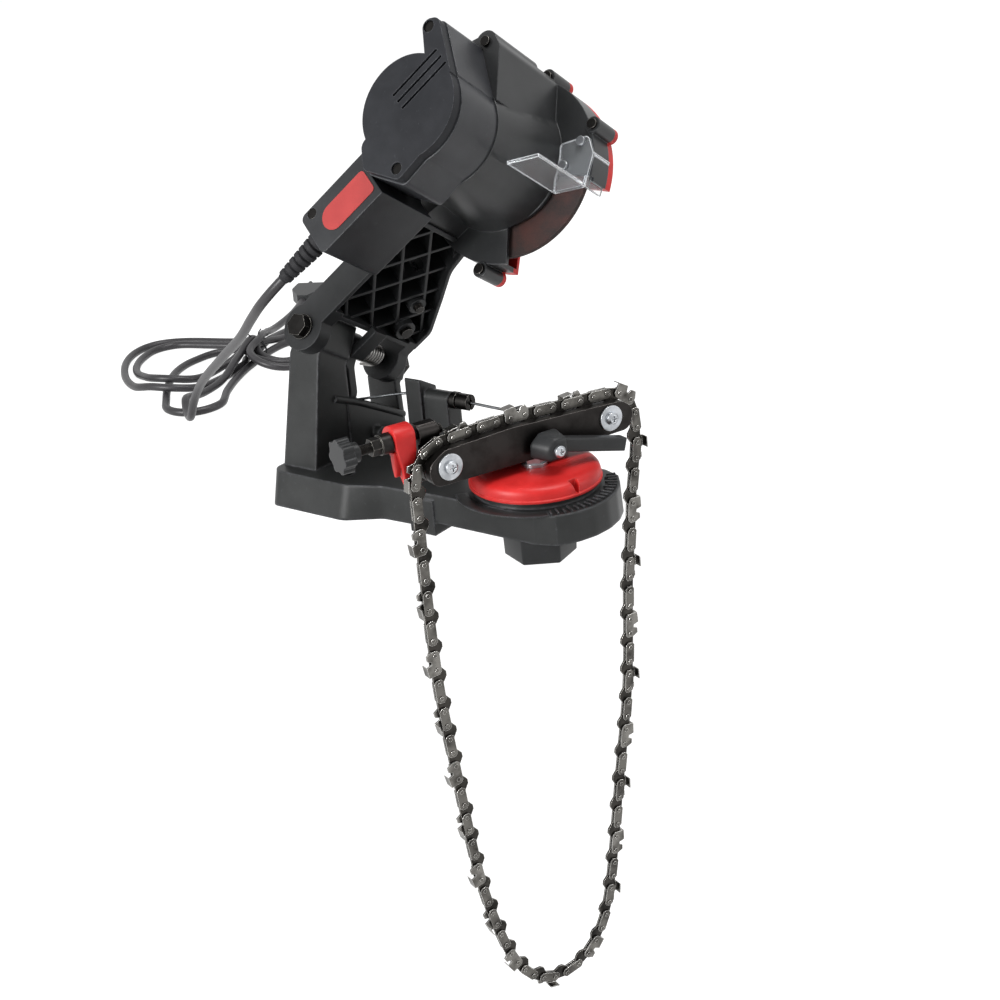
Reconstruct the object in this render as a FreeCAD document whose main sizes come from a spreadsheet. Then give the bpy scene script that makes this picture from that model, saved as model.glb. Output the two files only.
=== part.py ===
import FreeCAD, Part
import math
import os
from FreeCAD import Placement, Rotation, Vector

# Electric chainsaw sharpener that clamps to a bench's edge: a moulded base with
# a slanted yoke, a swivelling chain vise, and a motor head that swings down on a
# pivot parallel to its own axis. Millimetres, +Z up, +Y towards the back of the
# bench, +X to the operator's right. The origin is the middle of the two bench
# bolt holes, in the plane of the bench's top.

doc = FreeCAD.newDocument("ChainsawSharpener")
sheet = doc.addObject("Spreadsheet::Sheet", "Dims")

drivingDims = [
    ("baseTop", 22, "upper face of the base above the bench"),
    ("baseWall", 4, "wall of the base moulding"),
    ("wideHalf", 51, "half the width of the base's rear part"),
    ("narrowHalf", 39.5, "half the width of the base's front part"),
    ("noseRadius", 51, "radius of the base's nose about the vise's axis"),
    ("viseY", -122, "place of the vise's swivel axis"),
    ("boltSpread", 68, "distance between the two bench bolt holes"),
    ("boltHole", 8.5, "diameter of a bench bolt hole"),
    ("viseSwivel", -21.4, "swivel of the vise in the rest pose, degrees"),
    ("discRadius", 40.9, "radius of the turntable"),
    ("discFoot", 28, "lower rim of the turntable"),
    ("discTop", 36, "upper face of the turntable"),
    ("railThick", 7, "thickness of a chain rail"),
    ("railSlot", 1.7, "slot between the two rails"),
    ("railTop", 64.5, "upper edge of the rails at their middle"),
    ("railFoot", 42.5, "lower edge of the rails"),
    ("tilt", 30.5, "slope of the motor axis and of the pivot, degrees"),
    ("headRaise", 50, "rise of the arm in the rest pose, degrees"),
    ("pivotX", 11.3, "pivot axis where it crosses the wheel's plane"),
    ("pivotY", 28, "same point, along Y"),
    ("pivotZ", 90.2, "same point, along Z"),
    ("pivotBolt", 8, "diameter of the pivot bolt"),
    ("pivotBore", 8.1, "bore for the pivot bolt"),
    ("lugRadius", 15, "round end of an arm lug"),
    ("armTop", 13, "arm's upper face above the pivot axis"),
    ("armFoot", -8, "arm's lower edge under the pivot axis"),
    ("armWall", 3, "wall of the arm"),
    ("wheelReach", 156, "motor axis from the pivot axis, along the arm"),
    ("wheelLift", 2, "motor axis above the pivot axis"),
    ("wheelRadius", 54, "grinding wheel"),
    ("wheelThick", 3.2, "grinding wheel"),
    ("wheelBore", 23, "bore of the grinding wheel"),
    ("guardRadius", 59.5, "outside of the wheel guard"),
    ("guardBack", -6, "back face of the guard's wall"),
    ("guardFront", 12, "joint face between guard and red cover"),
    ("coverEnd", 17.6, "outer face of the red cover"),
    ("housingStart", -71, "joint face between motor housing and guard"),
    ("capStart", -107, "joint face between motor housing and end cap"),
    ("capEnd", -113.7, "outer face of the end cap"),
    ("motorRadius", 32.5, "outside of the motor housing"),
    ("boxNear", -105, "outer face of the switch box"),
    ("boxFar", -56, "inner end of the switch box"),
    ("linkPitch", 9.525, "mean distance between two chain rivets"),
    ("linkCount", 50, "drive links in the loop of chain"),
    ("driveThick", 1.3, "thickness of a drive link"),
    ("strapThick", 1.1, "thickness of a tie strap"),
    ("rivetRadius", 1.5, "head of a chain rivet"),
    ("cordRadius", 3.1, "mains lead"),
]
for row, (alias, value, meaning) in enumerate(drivingDims, start=1):
    sheet.set(f"A{row}", meaning)
    sheet.set(f"B{row}", str(value))
    sheet.setAlias(f"B{row}", alias)
doc.recompute()


def dim(alias):
    return float(sheet.get(alias))


xAxis = Vector(1, 0, 0)
yAxis = Vector(0, 1, 0)
zAxis = Vector(0, 0, 1)

# The vise turns about a vertical axis. Its own X runs along the chain, -Y to the
# operator.
visePlacement = Placement(Vector(0, dim("viseY"), 0), Rotation(zAxis, dim("viseSwivel")))

# The pivot axis slopes down to the right by the tilt. In the yoke's frame X runs
# along the pivot bolt, and Z is square to it.
pivotPoint = Vector(dim("pivotX"), dim("pivotY"), dim("pivotZ"))
slope = Rotation(yAxis, dim("tilt"))
yokePlacement = Placement(pivotPoint, slope)

# The head's frame is the yoke's, raised: X along the motor, -Y from the pivot to
# the wheel, Z to the arm's upper side.
headPlacement = Placement(pivotPoint, slope.multiply(Rotation(xAxis, -dim("headRaise"))))

motorCentre = Vector(0, -dim("wheelReach"), dim("wheelLift"))


# helpers

def roundedOutline(corners):
    """Lines and tangent arcs of a closed outline from (x, y, radius) corners."""
    count = len(corners)
    geometry = []
    starts = []
    ends = []
    for i, (x, y, radius) in enumerate(corners):
        point = Vector(x, y, 0)
        before = Vector(*corners[i - 1][:2], 0) - point
        after = Vector(*corners[(i + 1) % count][:2], 0) - point
        before.normalize()
        after.normalize()
        if radius == 0:
            starts.append(point)
            ends.append(point)
            continue
        half = before.getAngle(after) / 2
        reach = radius / math.tan(half)
        middle = (before + after).normalize()
        centre = point + middle * (radius / math.sin(half))
        starts.append(point + before * reach)
        ends.append(point + after * reach)
        geometry.append(Part.Arc(starts[i], centre - middle * radius, ends[i]))
    for i in range(count):
        follow = (i + 1) % count
        if (starts[follow] - ends[i]).Length > 1e-6:
            geometry.append(Part.LineSegment(ends[i], starts[follow]))
    return geometry


def circle(x, y, radius):
    return [Part.Circle(Vector(x, y, 0), zAxis, radius)]


def outlineFace(corners):
    edges = [curve.toShape() for curve in roundedOutline(corners)]
    return Part.Face(Part.Wire(Part.__sortEdges__(edges)))


def prism(corners, direction, turn=None, at=Vector()):
    """Solid from an outline in the XY plane, turned, moved and then extruded."""
    face = outlineFace(corners)
    face.Placement = Placement(at, turn if turn else Rotation())
    return face.extrude(direction)


def endOn(corners, start, end):
    """Solid from an outline of (y, z, radius) corners, extruded along X."""
    turn = Rotation(yAxis, zAxis, xAxis, "XYZ")
    return prism(corners, Vector(end - start, 0, 0), turn, Vector(start, 0, 0))


def tube(points, radius):
    """Round tube along straight runs joined by arcs as large as the runs allow."""
    edges = []
    start = points[0]
    for i in range(1, len(points) - 1):
        before = points[i - 1] - points[i]
        after = points[i + 1] - points[i]
        reach = 0.45 * min(before.Length, after.Length)
        before.normalize()
        after.normalize()
        half = before.getAngle(after) / 2
        bend = reach * math.tan(half)
        middle = (before + after).normalize()
        arcStart = points[i] + before * reach
        arcEnd = points[i] + after * reach
        arcMiddle = points[i] + middle * (bend / math.sin(half) - bend)
        edges.append(Part.LineSegment(start, arcStart).toShape())
        edges.append(Part.Arc(arcStart, arcMiddle, arcEnd).toShape())
        print("bend radius", round(bend, 1))
        start = arcEnd
    edges.append(Part.LineSegment(start, points[-1]).toShape())
    path = Part.Wire(edges)
    section = Part.Wire(Part.makeCircle(radius, points[0], points[1] - points[0]))
    return path.makePipeShell([section], True, False)


def cylinderAlongX(start, end, radius, y=0, z=0):
    return Part.makeCylinder(radius, end - start, Vector(start, y, z), xAxis)


def cylinderAlongY(start, end, radius, x=0, z=0):
    return Part.makeCylinder(radius, end - start, Vector(x, start, z), yAxis)


def hexagonPoints(corner):
    """Corners of a hexagon about the origin of a plane."""
    points = []
    for i in range(6):
        angle = math.radians(60 * i)
        points.append((corner * math.cos(angle), corner * math.sin(angle)))
    return points


def hexagonAlongX(start, end, across, y=0, z=0):
    points = [Vector(start, y + dy, z + dz) for dy, dz in hexagonPoints(across / math.sqrt(3))]
    return Part.Face(Part.makePolygon(points + [points[0]])).extrude(Vector(end - start, 0, 0))


def turned(profile, start=Vector(), direction=zAxis):
    """Solid of revolution from (radius, height) corners, about a line."""
    points = [Vector(radius, 0, height) for radius, height in profile]
    face = Part.Face(Part.makePolygon(points + [points[0]]))
    solid = face.revolve(Vector(), zAxis, 360)
    solid.Placement = Placement(start, Rotation(zAxis, direction))
    return solid


def makeFeature(label, shape, placement=Placement()):
    feature = doc.addObject("Part::Feature", label)
    feature.Label = label
    feature.Shape = shape
    feature.Placement = placement.multiply(shape.Placement)
    nodes.append(feature)
    return feature


def makeBody(label, placement=Placement()):
    body = doc.addObject("PartDesign::Body", label)
    body.Label = label
    body.Placement = placement
    nodes.append(body)
    return body


def sketchOn(body, role, name, geometry, offset=0.0):
    """Sketch on one of the body's origin planes, moved along its normal."""
    sketch = body.newObject("Sketcher::SketchObject", name)
    plane = next(item for item in body.Origin.OriginFeatures if item.Role == role)
    sketch.AttachmentSupport = [(plane, "")]
    sketch.MapMode = "FlatFace"
    if isinstance(offset, str):
        sketch.setExpression(".AttachmentOffset.Base.z", offset)
    else:
        sketch.AttachmentOffset = Placement(Vector(0, 0, offset), Rotation())
    sketch.addGeometry(geometry, False)
    return sketch


def setLength(feature, length):
    if isinstance(length, str):
        feature.setExpression("Length", length)
    else:
        feature.Length = length


def pad(body, sketch, length, backwards=False, midplane=False):
    feature = body.newObject("PartDesign::Pad", sketch.Name + "Pad")
    feature.Profile = sketch
    feature.Reversed = backwards
    feature.Midplane = midplane
    setLength(feature, length)
    return feature


def pocket(body, sketch, length=None, backwards=False):
    """Pocket of a length, or through everything both ways."""
    feature = body.newObject("PartDesign::Pocket", sketch.Name + "Pocket")
    feature.Profile = sketch
    feature.Reversed = backwards
    if length is None:
        feature.Type = 1
        feature.Midplane = True
    else:
        setLength(feature, length)
    return feature


def revolve(body, sketch, groove=False):
    kind = "PartDesign::Groove" if groove else "PartDesign::Revolution"
    feature = body.newObject(kind, sketch.Name + "Turn")
    feature.Profile = sketch
    feature.ReferenceAxis = (sketch, ["V_Axis"])
    feature.Angle = 360
    return feature


def ringOf(body, feature, count, name):
    """Copies of a feature about the body's own Z axis."""
    pattern = body.newObject("PartDesign::PolarPattern", name)
    pattern.Originals = [feature]
    zLine = next(item for item in body.Origin.OriginFeatures if item.Role == "Z_Axis")
    pattern.Axis = (zLine, [""])
    pattern.Angle = 360
    pattern.Occurrences = count
    body.Tip = pattern
    return pattern


nodes = []


# base

def baseOutline(wide, narrow, nose):
    """Rounded outline of the base: wide at the back, a waist, a round nose."""
    viseY = dim("viseY")
    noseAngle = math.radians(43)
    side = [
        (wide, 51, 8),
        (wide, -12, 14),
        (narrow + 3, -34, 12),
        (narrow + 1.5, -62, 12),
        (narrow, -72, 10),
        (narrow, viseY - 25, 2),
    ]
    left = [(-x, y, radius) for x, y, radius in side]
    noseArc = []
    for i in range(7):
        angle = -noseAngle + i * noseAngle / 3
        ring = nose if i in (0, 6) else nose / math.cos(noseAngle / 6)
        noseArc.append((ring * math.sin(angle), viseY - ring * math.cos(angle), 0 if i in (0, 6) else 20))
    return left + noseArc + side[::-1]


def makeBase():
    top = dim("baseTop")
    wall = dim("baseWall")
    wide = dim("wideHalf")
    narrow = dim("narrowHalf")
    nose = dim("noseRadius")
    viseY = dim("viseY")
    turnToXz = Rotation(xAxis, 90)

    foot = outlineFace(baseOutline(wide + 6, narrow + 0.5, nose + 1.5)).OuterWire
    crown = outlineFace(baseOutline(wide, narrow, nose)).OuterWire
    crown.translate(Vector(0, 0, top))
    plate = Part.makeLoft([foot, crown], True, True)
    innerFoot = outlineFace(baseOutline(wide + 6 - wall, narrow - wall, nose + 1.5 - wall)).OuterWire
    innerFoot.translate(Vector(0, 0, -1))
    innerCrown = outlineFace(baseOutline(wide - wall, narrow - wall, nose - wall)).OuterWire
    innerCrown.translate(Vector(0, 0, top - wall))
    plate = plate.cut(Part.makeLoft([innerFoot, innerCrown], True, True))

    # the front part hangs past the bench's edge, clear of the bench's plane
    front = Part.makeBox(200, 200, 10, Vector(-100, viseY + 49 - 200, -6.5))
    plate = plate.cut(front)
    # the lip under the base that meets the bench's edge
    lip = Part.makeBox(2 * narrow + 3, 19, top - wall + 5, Vector(-1.5 - narrow, viseY + 49, -5))
    # bosses for the two bench bolts and the swivel bolt, and the ribs between
    shell = plate.fuse(lip)
    for x in (-dim("boltSpread") / 2, dim("boltSpread") / 2):
        shell = shell.fuse(Part.makeCylinder(9, top - 1, Vector(x, 0, 0)))
    shell = shell.fuse(Part.makeCylinder(14, top - 3, Vector(0, viseY, 2)))
    shell = shell.fuse(Part.makeCylinder(dim("discRadius") - 3, 4.2, Vector(0, viseY, top)))
    for x in (-22, 22):
        shell = shell.fuse(Part.makeBox(3, 51 - wall - 3 - viseY - 49, top - 1.5,
                                        Vector(x - 1.5, viseY + 60, 0.5)))
    shell = shell.fuse(Part.makeBox(2 * wide - 4, 3, top - 1.5, Vector(2 - wide, -1.5, 0.5)))

    # near column: straight front and back, leaning inwards, round at the pivot
    nearSides = [(-41, 19, 0), (-27.5, 95, 0), (-9.7, 125.2, 0), (13.9, 111.2, 0), (-3.5, 81.6, 0),
                 (-2, 19, 0)]
    nearBlock = prism(nearSides, Vector(0, 36, 0), turnToXz, Vector(0, 18, 0))
    columnSide = [(-9, 0, 0), (-6, -100, 0), (22.5, -100, 0), (14.3, 0, 0)]
    standUp = Rotation(Vector(0, 1, 0), Vector(0, 0, 1), Vector(1, 0, 0), "ZXY")

    def columnWeb(start, end):
        web = prism(columnSide, Vector(0, 0, end - start), None, Vector(0, 0, start))
        web = web.fuse(Part.makeCylinder(14.3, end - start, Vector(0, 0, start)))
        web.Placement = yokePlacement.multiply(Placement(Vector(), standUp))
        return web

    near = nearBlock.common(columnWeb(-60, 20))
    # far column: a thinner wall whose foot leans outwards
    farSides = [(46, 19, 0), (42.6, 56.7, 0), (56.6, 80.4, 0), (61.7, 77.3, 0), (47.8, 53.7, 0),
                (50.6, 19, 0)]
    farBlock = prism(farSides, Vector(0, 36, 0), turnToXz, Vector(0, 18, 0))
    far = farBlock.common(columnWeb(0, 110))
    # web between the columns, its upper edge parallel to the pivot
    webSides = [(-6, 19, 0), (-6, 59.9, 0), (48, 31.9, 0), (48, 19, 0)]
    web = prism(webSides, Vector(0, 3.4, 0), turnToXz, Vector(0, 19.6, 0))
    screwBoss = cylinderAlongY(14, 21, 4, 19, 29)

    # tower that holds the clamp cable's adjuster
    towerWall = [(8, 19, 0), (8, 75.4, 1), (24, 66.6, 2), (26, 19, 0)]
    tower = prism(towerWall, Vector(0, 12, 0), turnToXz, Vector(0, -31, 0))
    bossSides = [(10.5, 19, 0), (10.5, 69, 5), (24, 64.5, 5), (24.5, 19, 0)]
    tower = tower.fuse(prism(bossSides, Vector(0, 20, 0), turnToXz, Vector(0, -50, 0)))

    base = shell.fuse([near, far, web, screwBoss, tower])
    bore = cylinderAlongX(-60, 70, dim("pivotBore") / 2)
    bore.Placement = yokePlacement
    cuts = [bore]
    for x in (-dim("boltSpread") / 2, dim("boltSpread") / 2):
        cuts.append(Part.makeCylinder(dim("boltHole") / 2, 60, Vector(x, 0, -10)))
    cuts.append(Part.makeCylinder(5.1, 60, Vector(0, viseY, -10)))
    cuts.append(adjusterBore())
    cuts.append(cylinderAlongY(10, 40, 1.6, 19, 29))
    base = base.cut(cuts)
    makeFeature("base_casting", base.removeSplitter())


# The clamp cable runs from the tail of the arm, through the adjuster in the
# tower, to the cam lever behind the vise.
adjusterX = 17
adjusterZ = 61.5


def adjusterBore():
    return cylinderAlongY(-60, -10, 3.05, adjusterX, adjusterZ)


def makeCable():
    barrel = cylinderAlongY(-59, -14, 3, adjusterX, adjusterZ).fuse(
        cylinderAlongY(-63.5, -55, 5.2, adjusterX, adjusterZ))
    barrel = barrel.cut(cylinderAlongY(-70, -10, 1.9, adjusterX, adjusterZ))
    slot = Part.makeBox(1.6, 3.5, 20, Vector(adjusterX - 0.8, -64, adjusterZ - 10))
    makeFeature("cable_adjuster", barrel.cut(slot))
    nut = turned([(3.05, 0), (5.6, 0), (5.6, 4), (3.05, 4)], Vector(adjusterX, -50.05, adjusterZ), -yAxis)
    makeFeature("adjuster_nut", nut)
    cable = tube([Vector(9.5, 25.6, 53.6), Vector(11.4, 14, 56), Vector(adjusterX, -12, adjusterZ),
                  Vector(adjusterX, -60, adjusterZ - 0.1), Vector(14.45, -101.3, 61.4)], 0.9)
    makeFeature("clamp_cable", cable)


# pivot

def makePivot():
    boltRadius = dim("pivotBolt") / 2
    bolt = hexagonAlongX(-53.6, -48.6, 13).fuse(cylinderAlongX(-48.6, 57, boltRadius))
    makeFeature("pivot_bolt", bolt, yokePlacement)
    washers = []
    for start, end in ((-48.5, -47.1), (50.1, 51.5)):
        washers.append(cylinderAlongX(start, end, 8).cut(cylinderAlongX(start, end, boltRadius + 0.1)))
    makeFeature("pivot_washers", Part.makeCompound(washers), yokePlacement)
    nut = hexagonAlongX(51.6, 57.4, 13).cut(cylinderAlongX(51, 58, boltRadius + 0.02))
    makeFeature("pivot_nut", nut, yokePlacement)
    # return spring: five close coils around the bolt
    coils = [(6.1, 0)]
    for i in range(5):
        coils.extend([(7.3, 2.3 * i), (8.3, 2.3 * i + 1.15)])
    coils.extend([(7.3, 11.5), (6.1, 11.5)])
    makeFeature("return_spring", turned(coils, Vector(8, 0, 0), xAxis), yokePlacement)


# vise

def makeTurntable():
    radius = dim("discRadius")
    foot = dim("discFoot")
    top = dim("discTop")
    disc = makeBody("vise_turntable", visePlacement)
    profile = [
        (5.2, foot - 1.6, 0), (radius - 2, foot - 1.6, 0), (radius, foot, 0), (radius - 0.5, foot + 2.5, 0),
        (radius - 3, foot + 5, 0), (radius - 8, top - 0.8, 0), (12, top, 0), (5.2, top, 0),
    ]
    sketch = sketchOn(disc, "XZ_Plane", "discProfile", roundedOutline(profile))
    revolve(disc, sketch)
    pointer = roundedOutline([(-4, -radius - 1, 0), (4, -radius - 1, 0), (0, -radius + 9, 0)])
    notch = sketchOn(disc, "XY_Plane", "pointerNotch", pointer, top + 1)
    pocket(disc, notch, 4)


def railOutline():
    """Side view of a rail: bowed upper edge, round ends."""
    top = dim("railTop")
    foot = dim("railFoot")
    return [
        (-74.5, foot + 1, 7), (-77.5, top - 8, 8), (-66, top, 12), (-20, top + 1.7, 90),
        (62, top - 1.8, 12), (70.5, top - 8, 8), (67, foot + 1, 7), (0, foot, 60),
    ]


def crossRecess(at, reach):
    """Cross of a screw's drive, sunk along Y."""
    bar = Part.makeBox(2 * reach, 1.4, 0.9, Vector(at.x - reach, at.y, at.z - 0.45))
    return bar.fuse(Part.makeBox(0.9, 1.4, 2 * reach, Vector(at.x - 0.45, at.y, at.z - reach)))


def makeVise():
    half = dim("railSlot") / 2
    thick = dim("railThick")
    foot = dim("railFoot")
    top = dim("railTop")
    rear = makeBody("rear_rail", visePlacement)
    rearOutline = sketchOn(rear, "XZ_Plane", "rearOutline", roundedOutline(railOutline()), -half - thick)
    pad(rear, rearOutline, "Dims.railThick")
    holes = circle(-63.1, 54, 2.9) + circle(52.6, 54, 2.9) + circle(2, 50.5, 3.2)
    pocket(rear, sketchOn(rear, "XZ_Plane", "rearHoles", holes))
    front = makeBody("front_rail", visePlacement)
    frontOutline = sketchOn(front, "XZ_Plane", "frontOutline", roundedOutline(railOutline()), half)
    pad(front, frontOutline, "Dims.railThick")
    holes = circle(-63.1, 54, 2.55) + circle(52.6, 54, 2.55) + circle(2, 50.5, 3.2)
    pocket(front, sketchOn(front, "XZ_Plane", "frontHoles", holes))

    # block that carries the rear rail on the turntable, its foot behind the bolt
    back = half + thick + 0.02
    block = Part.makeBox(56, 12, top - 6 - dim("discTop"), Vector(-26, back, dim("discTop")))
    block = block.fuse(Part.makeBox(46, 24, 5.5, Vector(-22, back, dim("discTop"))))
    block = block.cut([Part.makeCylinder(9.5, 20, Vector(0, 0, dim("discTop") - 1)),
                       cylinderAlongY(0, 60, 3.05, 2, 50.5)])
    makeFeature("vise_block", block, visePlacement)

    faceY = -half - thick
    screws = []
    washers = []
    for x in (-63.1, 52.6):
        shank = cylinderAlongY(faceY - 1.6, half + thick, 2.5, x, 54)
        head = turned([(0, 0), (4.2, 0), (4.0, 1.6), (2.6, 2.8), (0, 2.8)], Vector(x, faceY - 1.2, 54),
                      -yAxis)
        screws.append(shank.fuse(head).cut(crossRecess(Vector(x, faceY - 4.1, 54), 2.2)))
        washer = cylinderAlongY(faceY - 1.2, faceY, 8, x, 54)
        washers.append(washer.cut(cylinderAlongY(faceY - 2, faceY + 1, 2.6, x, 54)))
    makeFeature("rail_screws", Part.makeCompound(screws), visePlacement)
    makeFeature("rail_washers", Part.makeCompound(washers), visePlacement)


def makeClampLever():
    axisX = 2
    axisZ = 50.5
    faceY = -dim("railSlot") / 2 - dim("railThick")
    head = turned([(0, 0), (3.8, 0), (3.7, 1.6), (2.4, 2.7), (0, 2.7)], Vector(axisX, -25.02, axisZ),
                  -yAxis)
    head = head.cut(crossRecess(Vector(axisX, -27.8, axisZ), 2))
    screw = cylinderAlongY(-26, 30, 3, axisX, axisZ).fuse(head)
    makeFeature("clamp_screw", screw, visePlacement)
    hub = cylinderAlongY(-25, faceY - 3, 9.3, axisX, axisZ)
    hub = hub.fuse(cylinderAlongY(-15, faceY - 0.3, 8, axisX, axisZ))
    arm = prism([(4, -5.6, 0), (52, -3.7, 3), (52, 3.7, 3), (4, 5.6, 0)], Vector(0, 0, 8))
    arm.Placement = Placement(Vector(axisX, -17, axisZ), Rotation(yAxis, 11).multiply(Rotation(xAxis, 90)))
    lever = hub.fuse(arm).cut(cylinderAlongY(-30, 0, 3.01, axisX, axisZ))
    makeFeature("clamp_lever", lever.removeSplitter(), visePlacement)

    # rocker behind the block: the cable pulls its top back as the head comes
    # down, and it draws the screw and the front rail against the chain
    sides = [(-5, -6.9, 0), (-6, 4, 3), (1, 15, 3), (9, 15, 3), (10, 4, 6), (9, -6.9, 0)]
    rocker = prism(sides, Vector(0, 0, 4))
    rocker.Placement = Placement(Vector(axisX, 24, axisZ), Rotation(xAxis, 90))
    rolledFoot = cylinderAlongX(axisX - 5, axisX + 9, 2, 22, axisZ - 6.9)
    rocker = rocker.fuse(rolledFoot).cut(cylinderAlongY(10, 30, 4, axisX, axisZ))
    makeFeature("clamp_rocker", rocker.removeSplitter(), visePlacement)
    washer = cylinderAlongY(24.5, 26, 6, axisX, axisZ)
    nut = prism([(x, y, 0) for x, y in hexagonPoints(4.6)], Vector(0, 0, 4))
    nut.Placement = Placement(Vector(axisX, 29.6, axisZ), Rotation(xAxis, 90))
    nut = nut.fuse(washer).cut(cylinderAlongY(20, 40, 3.01, axisX, axisZ))
    makeFeature("rocker_nut", nut.removeSplitter(), visePlacement)


def makeChainStop():
    rodY = 10.5
    rodZ = 71.5
    bracket = Part.makeBox(13, 6, 36, Vector(-74, dim("railSlot") / 2 + dim("railThick") + 0.05, 43))
    bracket = bracket.fuse(cylinderAlongX(-74, -61, 6.2, rodY, rodZ))
    bracket = bracket.cut(cylinderAlongX(-80, -50, 3.05, rodY, rodZ))
    bracket = bracket.cut(cylinderAlongY(0, 30, 3.0, -63.1, 54))
    bracket = bracket.cut(Part.makeBox(30, 20, 20, Vector(-80, -2, rodZ + 6.2)))
    makeFeature("stop_bracket", bracket, visePlacement)
    rod = cylinderAlongX(-120, -57, 3, rodY, rodZ)
    makeFeature("stop_rod", rod, visePlacement)
    hook = cylinderAlongX(-91, -77.5, 8.5, rodY, rodZ)
    legSide = [(-90, 0, 0), (-77.5, 0, 0), (-77.5, -12, 0), (-81, -33, 2), (-86, -33, 2), (-86.5, -18, 0),
               (-90, -14, 2)]
    leg = prism(legSide, Vector(0, 3, 0), Rotation(xAxis, 90), Vector(0, rodY - 1, rodZ))
    prong = Part.makeBox(3, 9, 16, Vector(-91, rodY - 4, rodZ - 20))
    chainSide = Part.makeBox(40, 10, 60, Vector(-100, -7.4, rodZ - 40))
    hook = hook.fuse([leg, prong]).cut([cylinderAlongX(-100, -70, 3.15, rodY, rodZ), chainSide])
    makeFeature("stop_pawl", hook.removeSplitter(), visePlacement)
    nut = cylinderAlongX(-98, -91.1, 6.2, rodY, rodZ).fuse(hexagonAlongX(-104, -98, 9.5, rodY, rodZ))
    makeFeature("stop_nut", nut.cut(cylinderAlongX(-106, -90, 3.02, rodY, rodZ)), visePlacement)

    knob = makeBody("stop_knob", visePlacement.multiply(
        Placement(Vector(-112.5, rodY, rodZ), Rotation(zAxis, -xAxis))))
    pad(knob, sketchOn(knob, "XY_Plane", "knobHub", circle(0, 0, 6)), 8)
    disc = pad(knob, sketchOn(knob, "XY_Plane", "knobDisc", circle(0, 0, 9), 5), 7.5)
    lobe = pad(knob, sketchOn(knob, "XY_Plane", "knobLobe", circle(8, 0, 2.6), 5), 7.5)
    ringOf(knob, lobe, 7, "knobLobes")
    bore = sketchOn(knob, "XY_Plane", "knobBore", circle(0, 0, 3.02))
    pocket(knob, bore, 7.6, backwards=True)


def makeSwivelLock():
    viseY = dim("viseY")
    centre = Vector(0, viseY, 0)
    head = Part.makeCylinder(8, 2, Vector(0, 0, dim("discTop") + 0.05))
    hexHead = prism([(x, y, 0) for x, y in hexagonPoints(7.5)], Vector(0, 0, 4), None,
                    Vector(0, 0, dim("discTop") + 2))
    shank = Part.makeCylinder(5, dim("discTop") + 22.1, Vector(0, 0, -22))
    makeFeature("swivel_bolt", shank.fuse([head, hexHead]).removeSplitter(), Placement(centre, Rotation()))
    washer = Part.makeCylinder(11, 1.5, Vector(0, 0, 0.3)).cut(Part.makeCylinder(5.1, 5, Vector(0, 0, -1)))
    makeFeature("swivel_washer", washer, Placement(centre, Rotation()))
    knob = makeBody("swivel_knob", Placement(Vector(0, viseY, 0.1), Rotation(xAxis, 180)))
    pad(knob, sketchOn(knob, "XY_Plane", "gripDisc", circle(0, 0, 20)), 12)
    lobe = pad(knob, sketchOn(knob, "XY_Plane", "gripLobe", circle(17, 0, 6.5)), 12)
    ringOf(knob, lobe, 6, "gripLobes")
    pad(knob, sketchOn(knob, "XY_Plane", "gripBoss", circle(0, 0, 14), 12), 13)
    pocket(knob, sketchOn(knob, "XY_Plane", "gripBore", circle(0, 0, 5.03)))


# head

def headPoint(a, f, h):
    return Vector(a, -f, h)


depthStop = (15, 49)


def makeStops():
    """Depth stop over the tower, spring screw, and the tail that pulls the cable."""
    top = dim("armTop")
    rod = Part.makeCylinder(3, 52, headPoint(*depthStop, -9.5))
    makeFeature("depth_rod", rod, headPlacement)
    knob = makeBody("depth_knob", headPlacement.multiply(Placement(headPoint(*depthStop, 34), Rotation())))
    pad(knob, sketchOn(knob, "XY_Plane", "depthGrip", circle(0, 0, 8)), 9)
    lobe = pad(knob, sketchOn(knob, "XY_Plane", "depthLobe", circle(7.5, 0, 2)), 9)
    ringOf(knob, lobe, 8, "depthLobes")
    pocket(knob, sketchOn(knob, "XY_Plane", "depthBore", circle(0, 0, 3.02)))

    screw = Part.makeCylinder(2.5, 18, headPoint(22, 30, -9))
    screw = screw.fuse(Part.makeCylinder(4.2, 2.6, headPoint(22, 30, -10.62)))
    makeFeature("spring_screw", screw, headPlacement)

    # tail: a bent strip from the pivot, hanging straight down in the rest pose
    sides = [(-7, 0, 0), (-7, 11, 3), (0, 16, 6), (8, 30, 6), (8, 37.5, 3), (14, 37.5, 3), (14, 28, 6),
             (5, 13, 6),
             (5, 0, 0)]
    raised = math.radians(dim("headRaise"))
    down = Rotation(xAxis, Vector(0, math.sin(raised), -math.cos(raised)), zAxis, "XYZ")
    strip = prism([(a, reach, r) for a, reach, r in sides], Vector(0, 0, 9), None, Vector(0, 0, -4.5))
    strip.Placement = Placement(Vector(), down)
    tongue = Part.makeBox(12, 24, 5, Vector(-7, -24, dim("armFoot") - 5.02))
    tail = cylinderAlongX(-7, 5, 9).fuse([strip, tongue]).cut(cylinderAlongX(-20, 20, dim("pivotBore") / 2))
    tail = tail.fuse(Part.makeCylinder(2.2, 8, down.multVec(Vector(13, 33, 0)), xAxis))
    makeFeature("cable_lever", tail.removeSplitter(), headPlacement)


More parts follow.
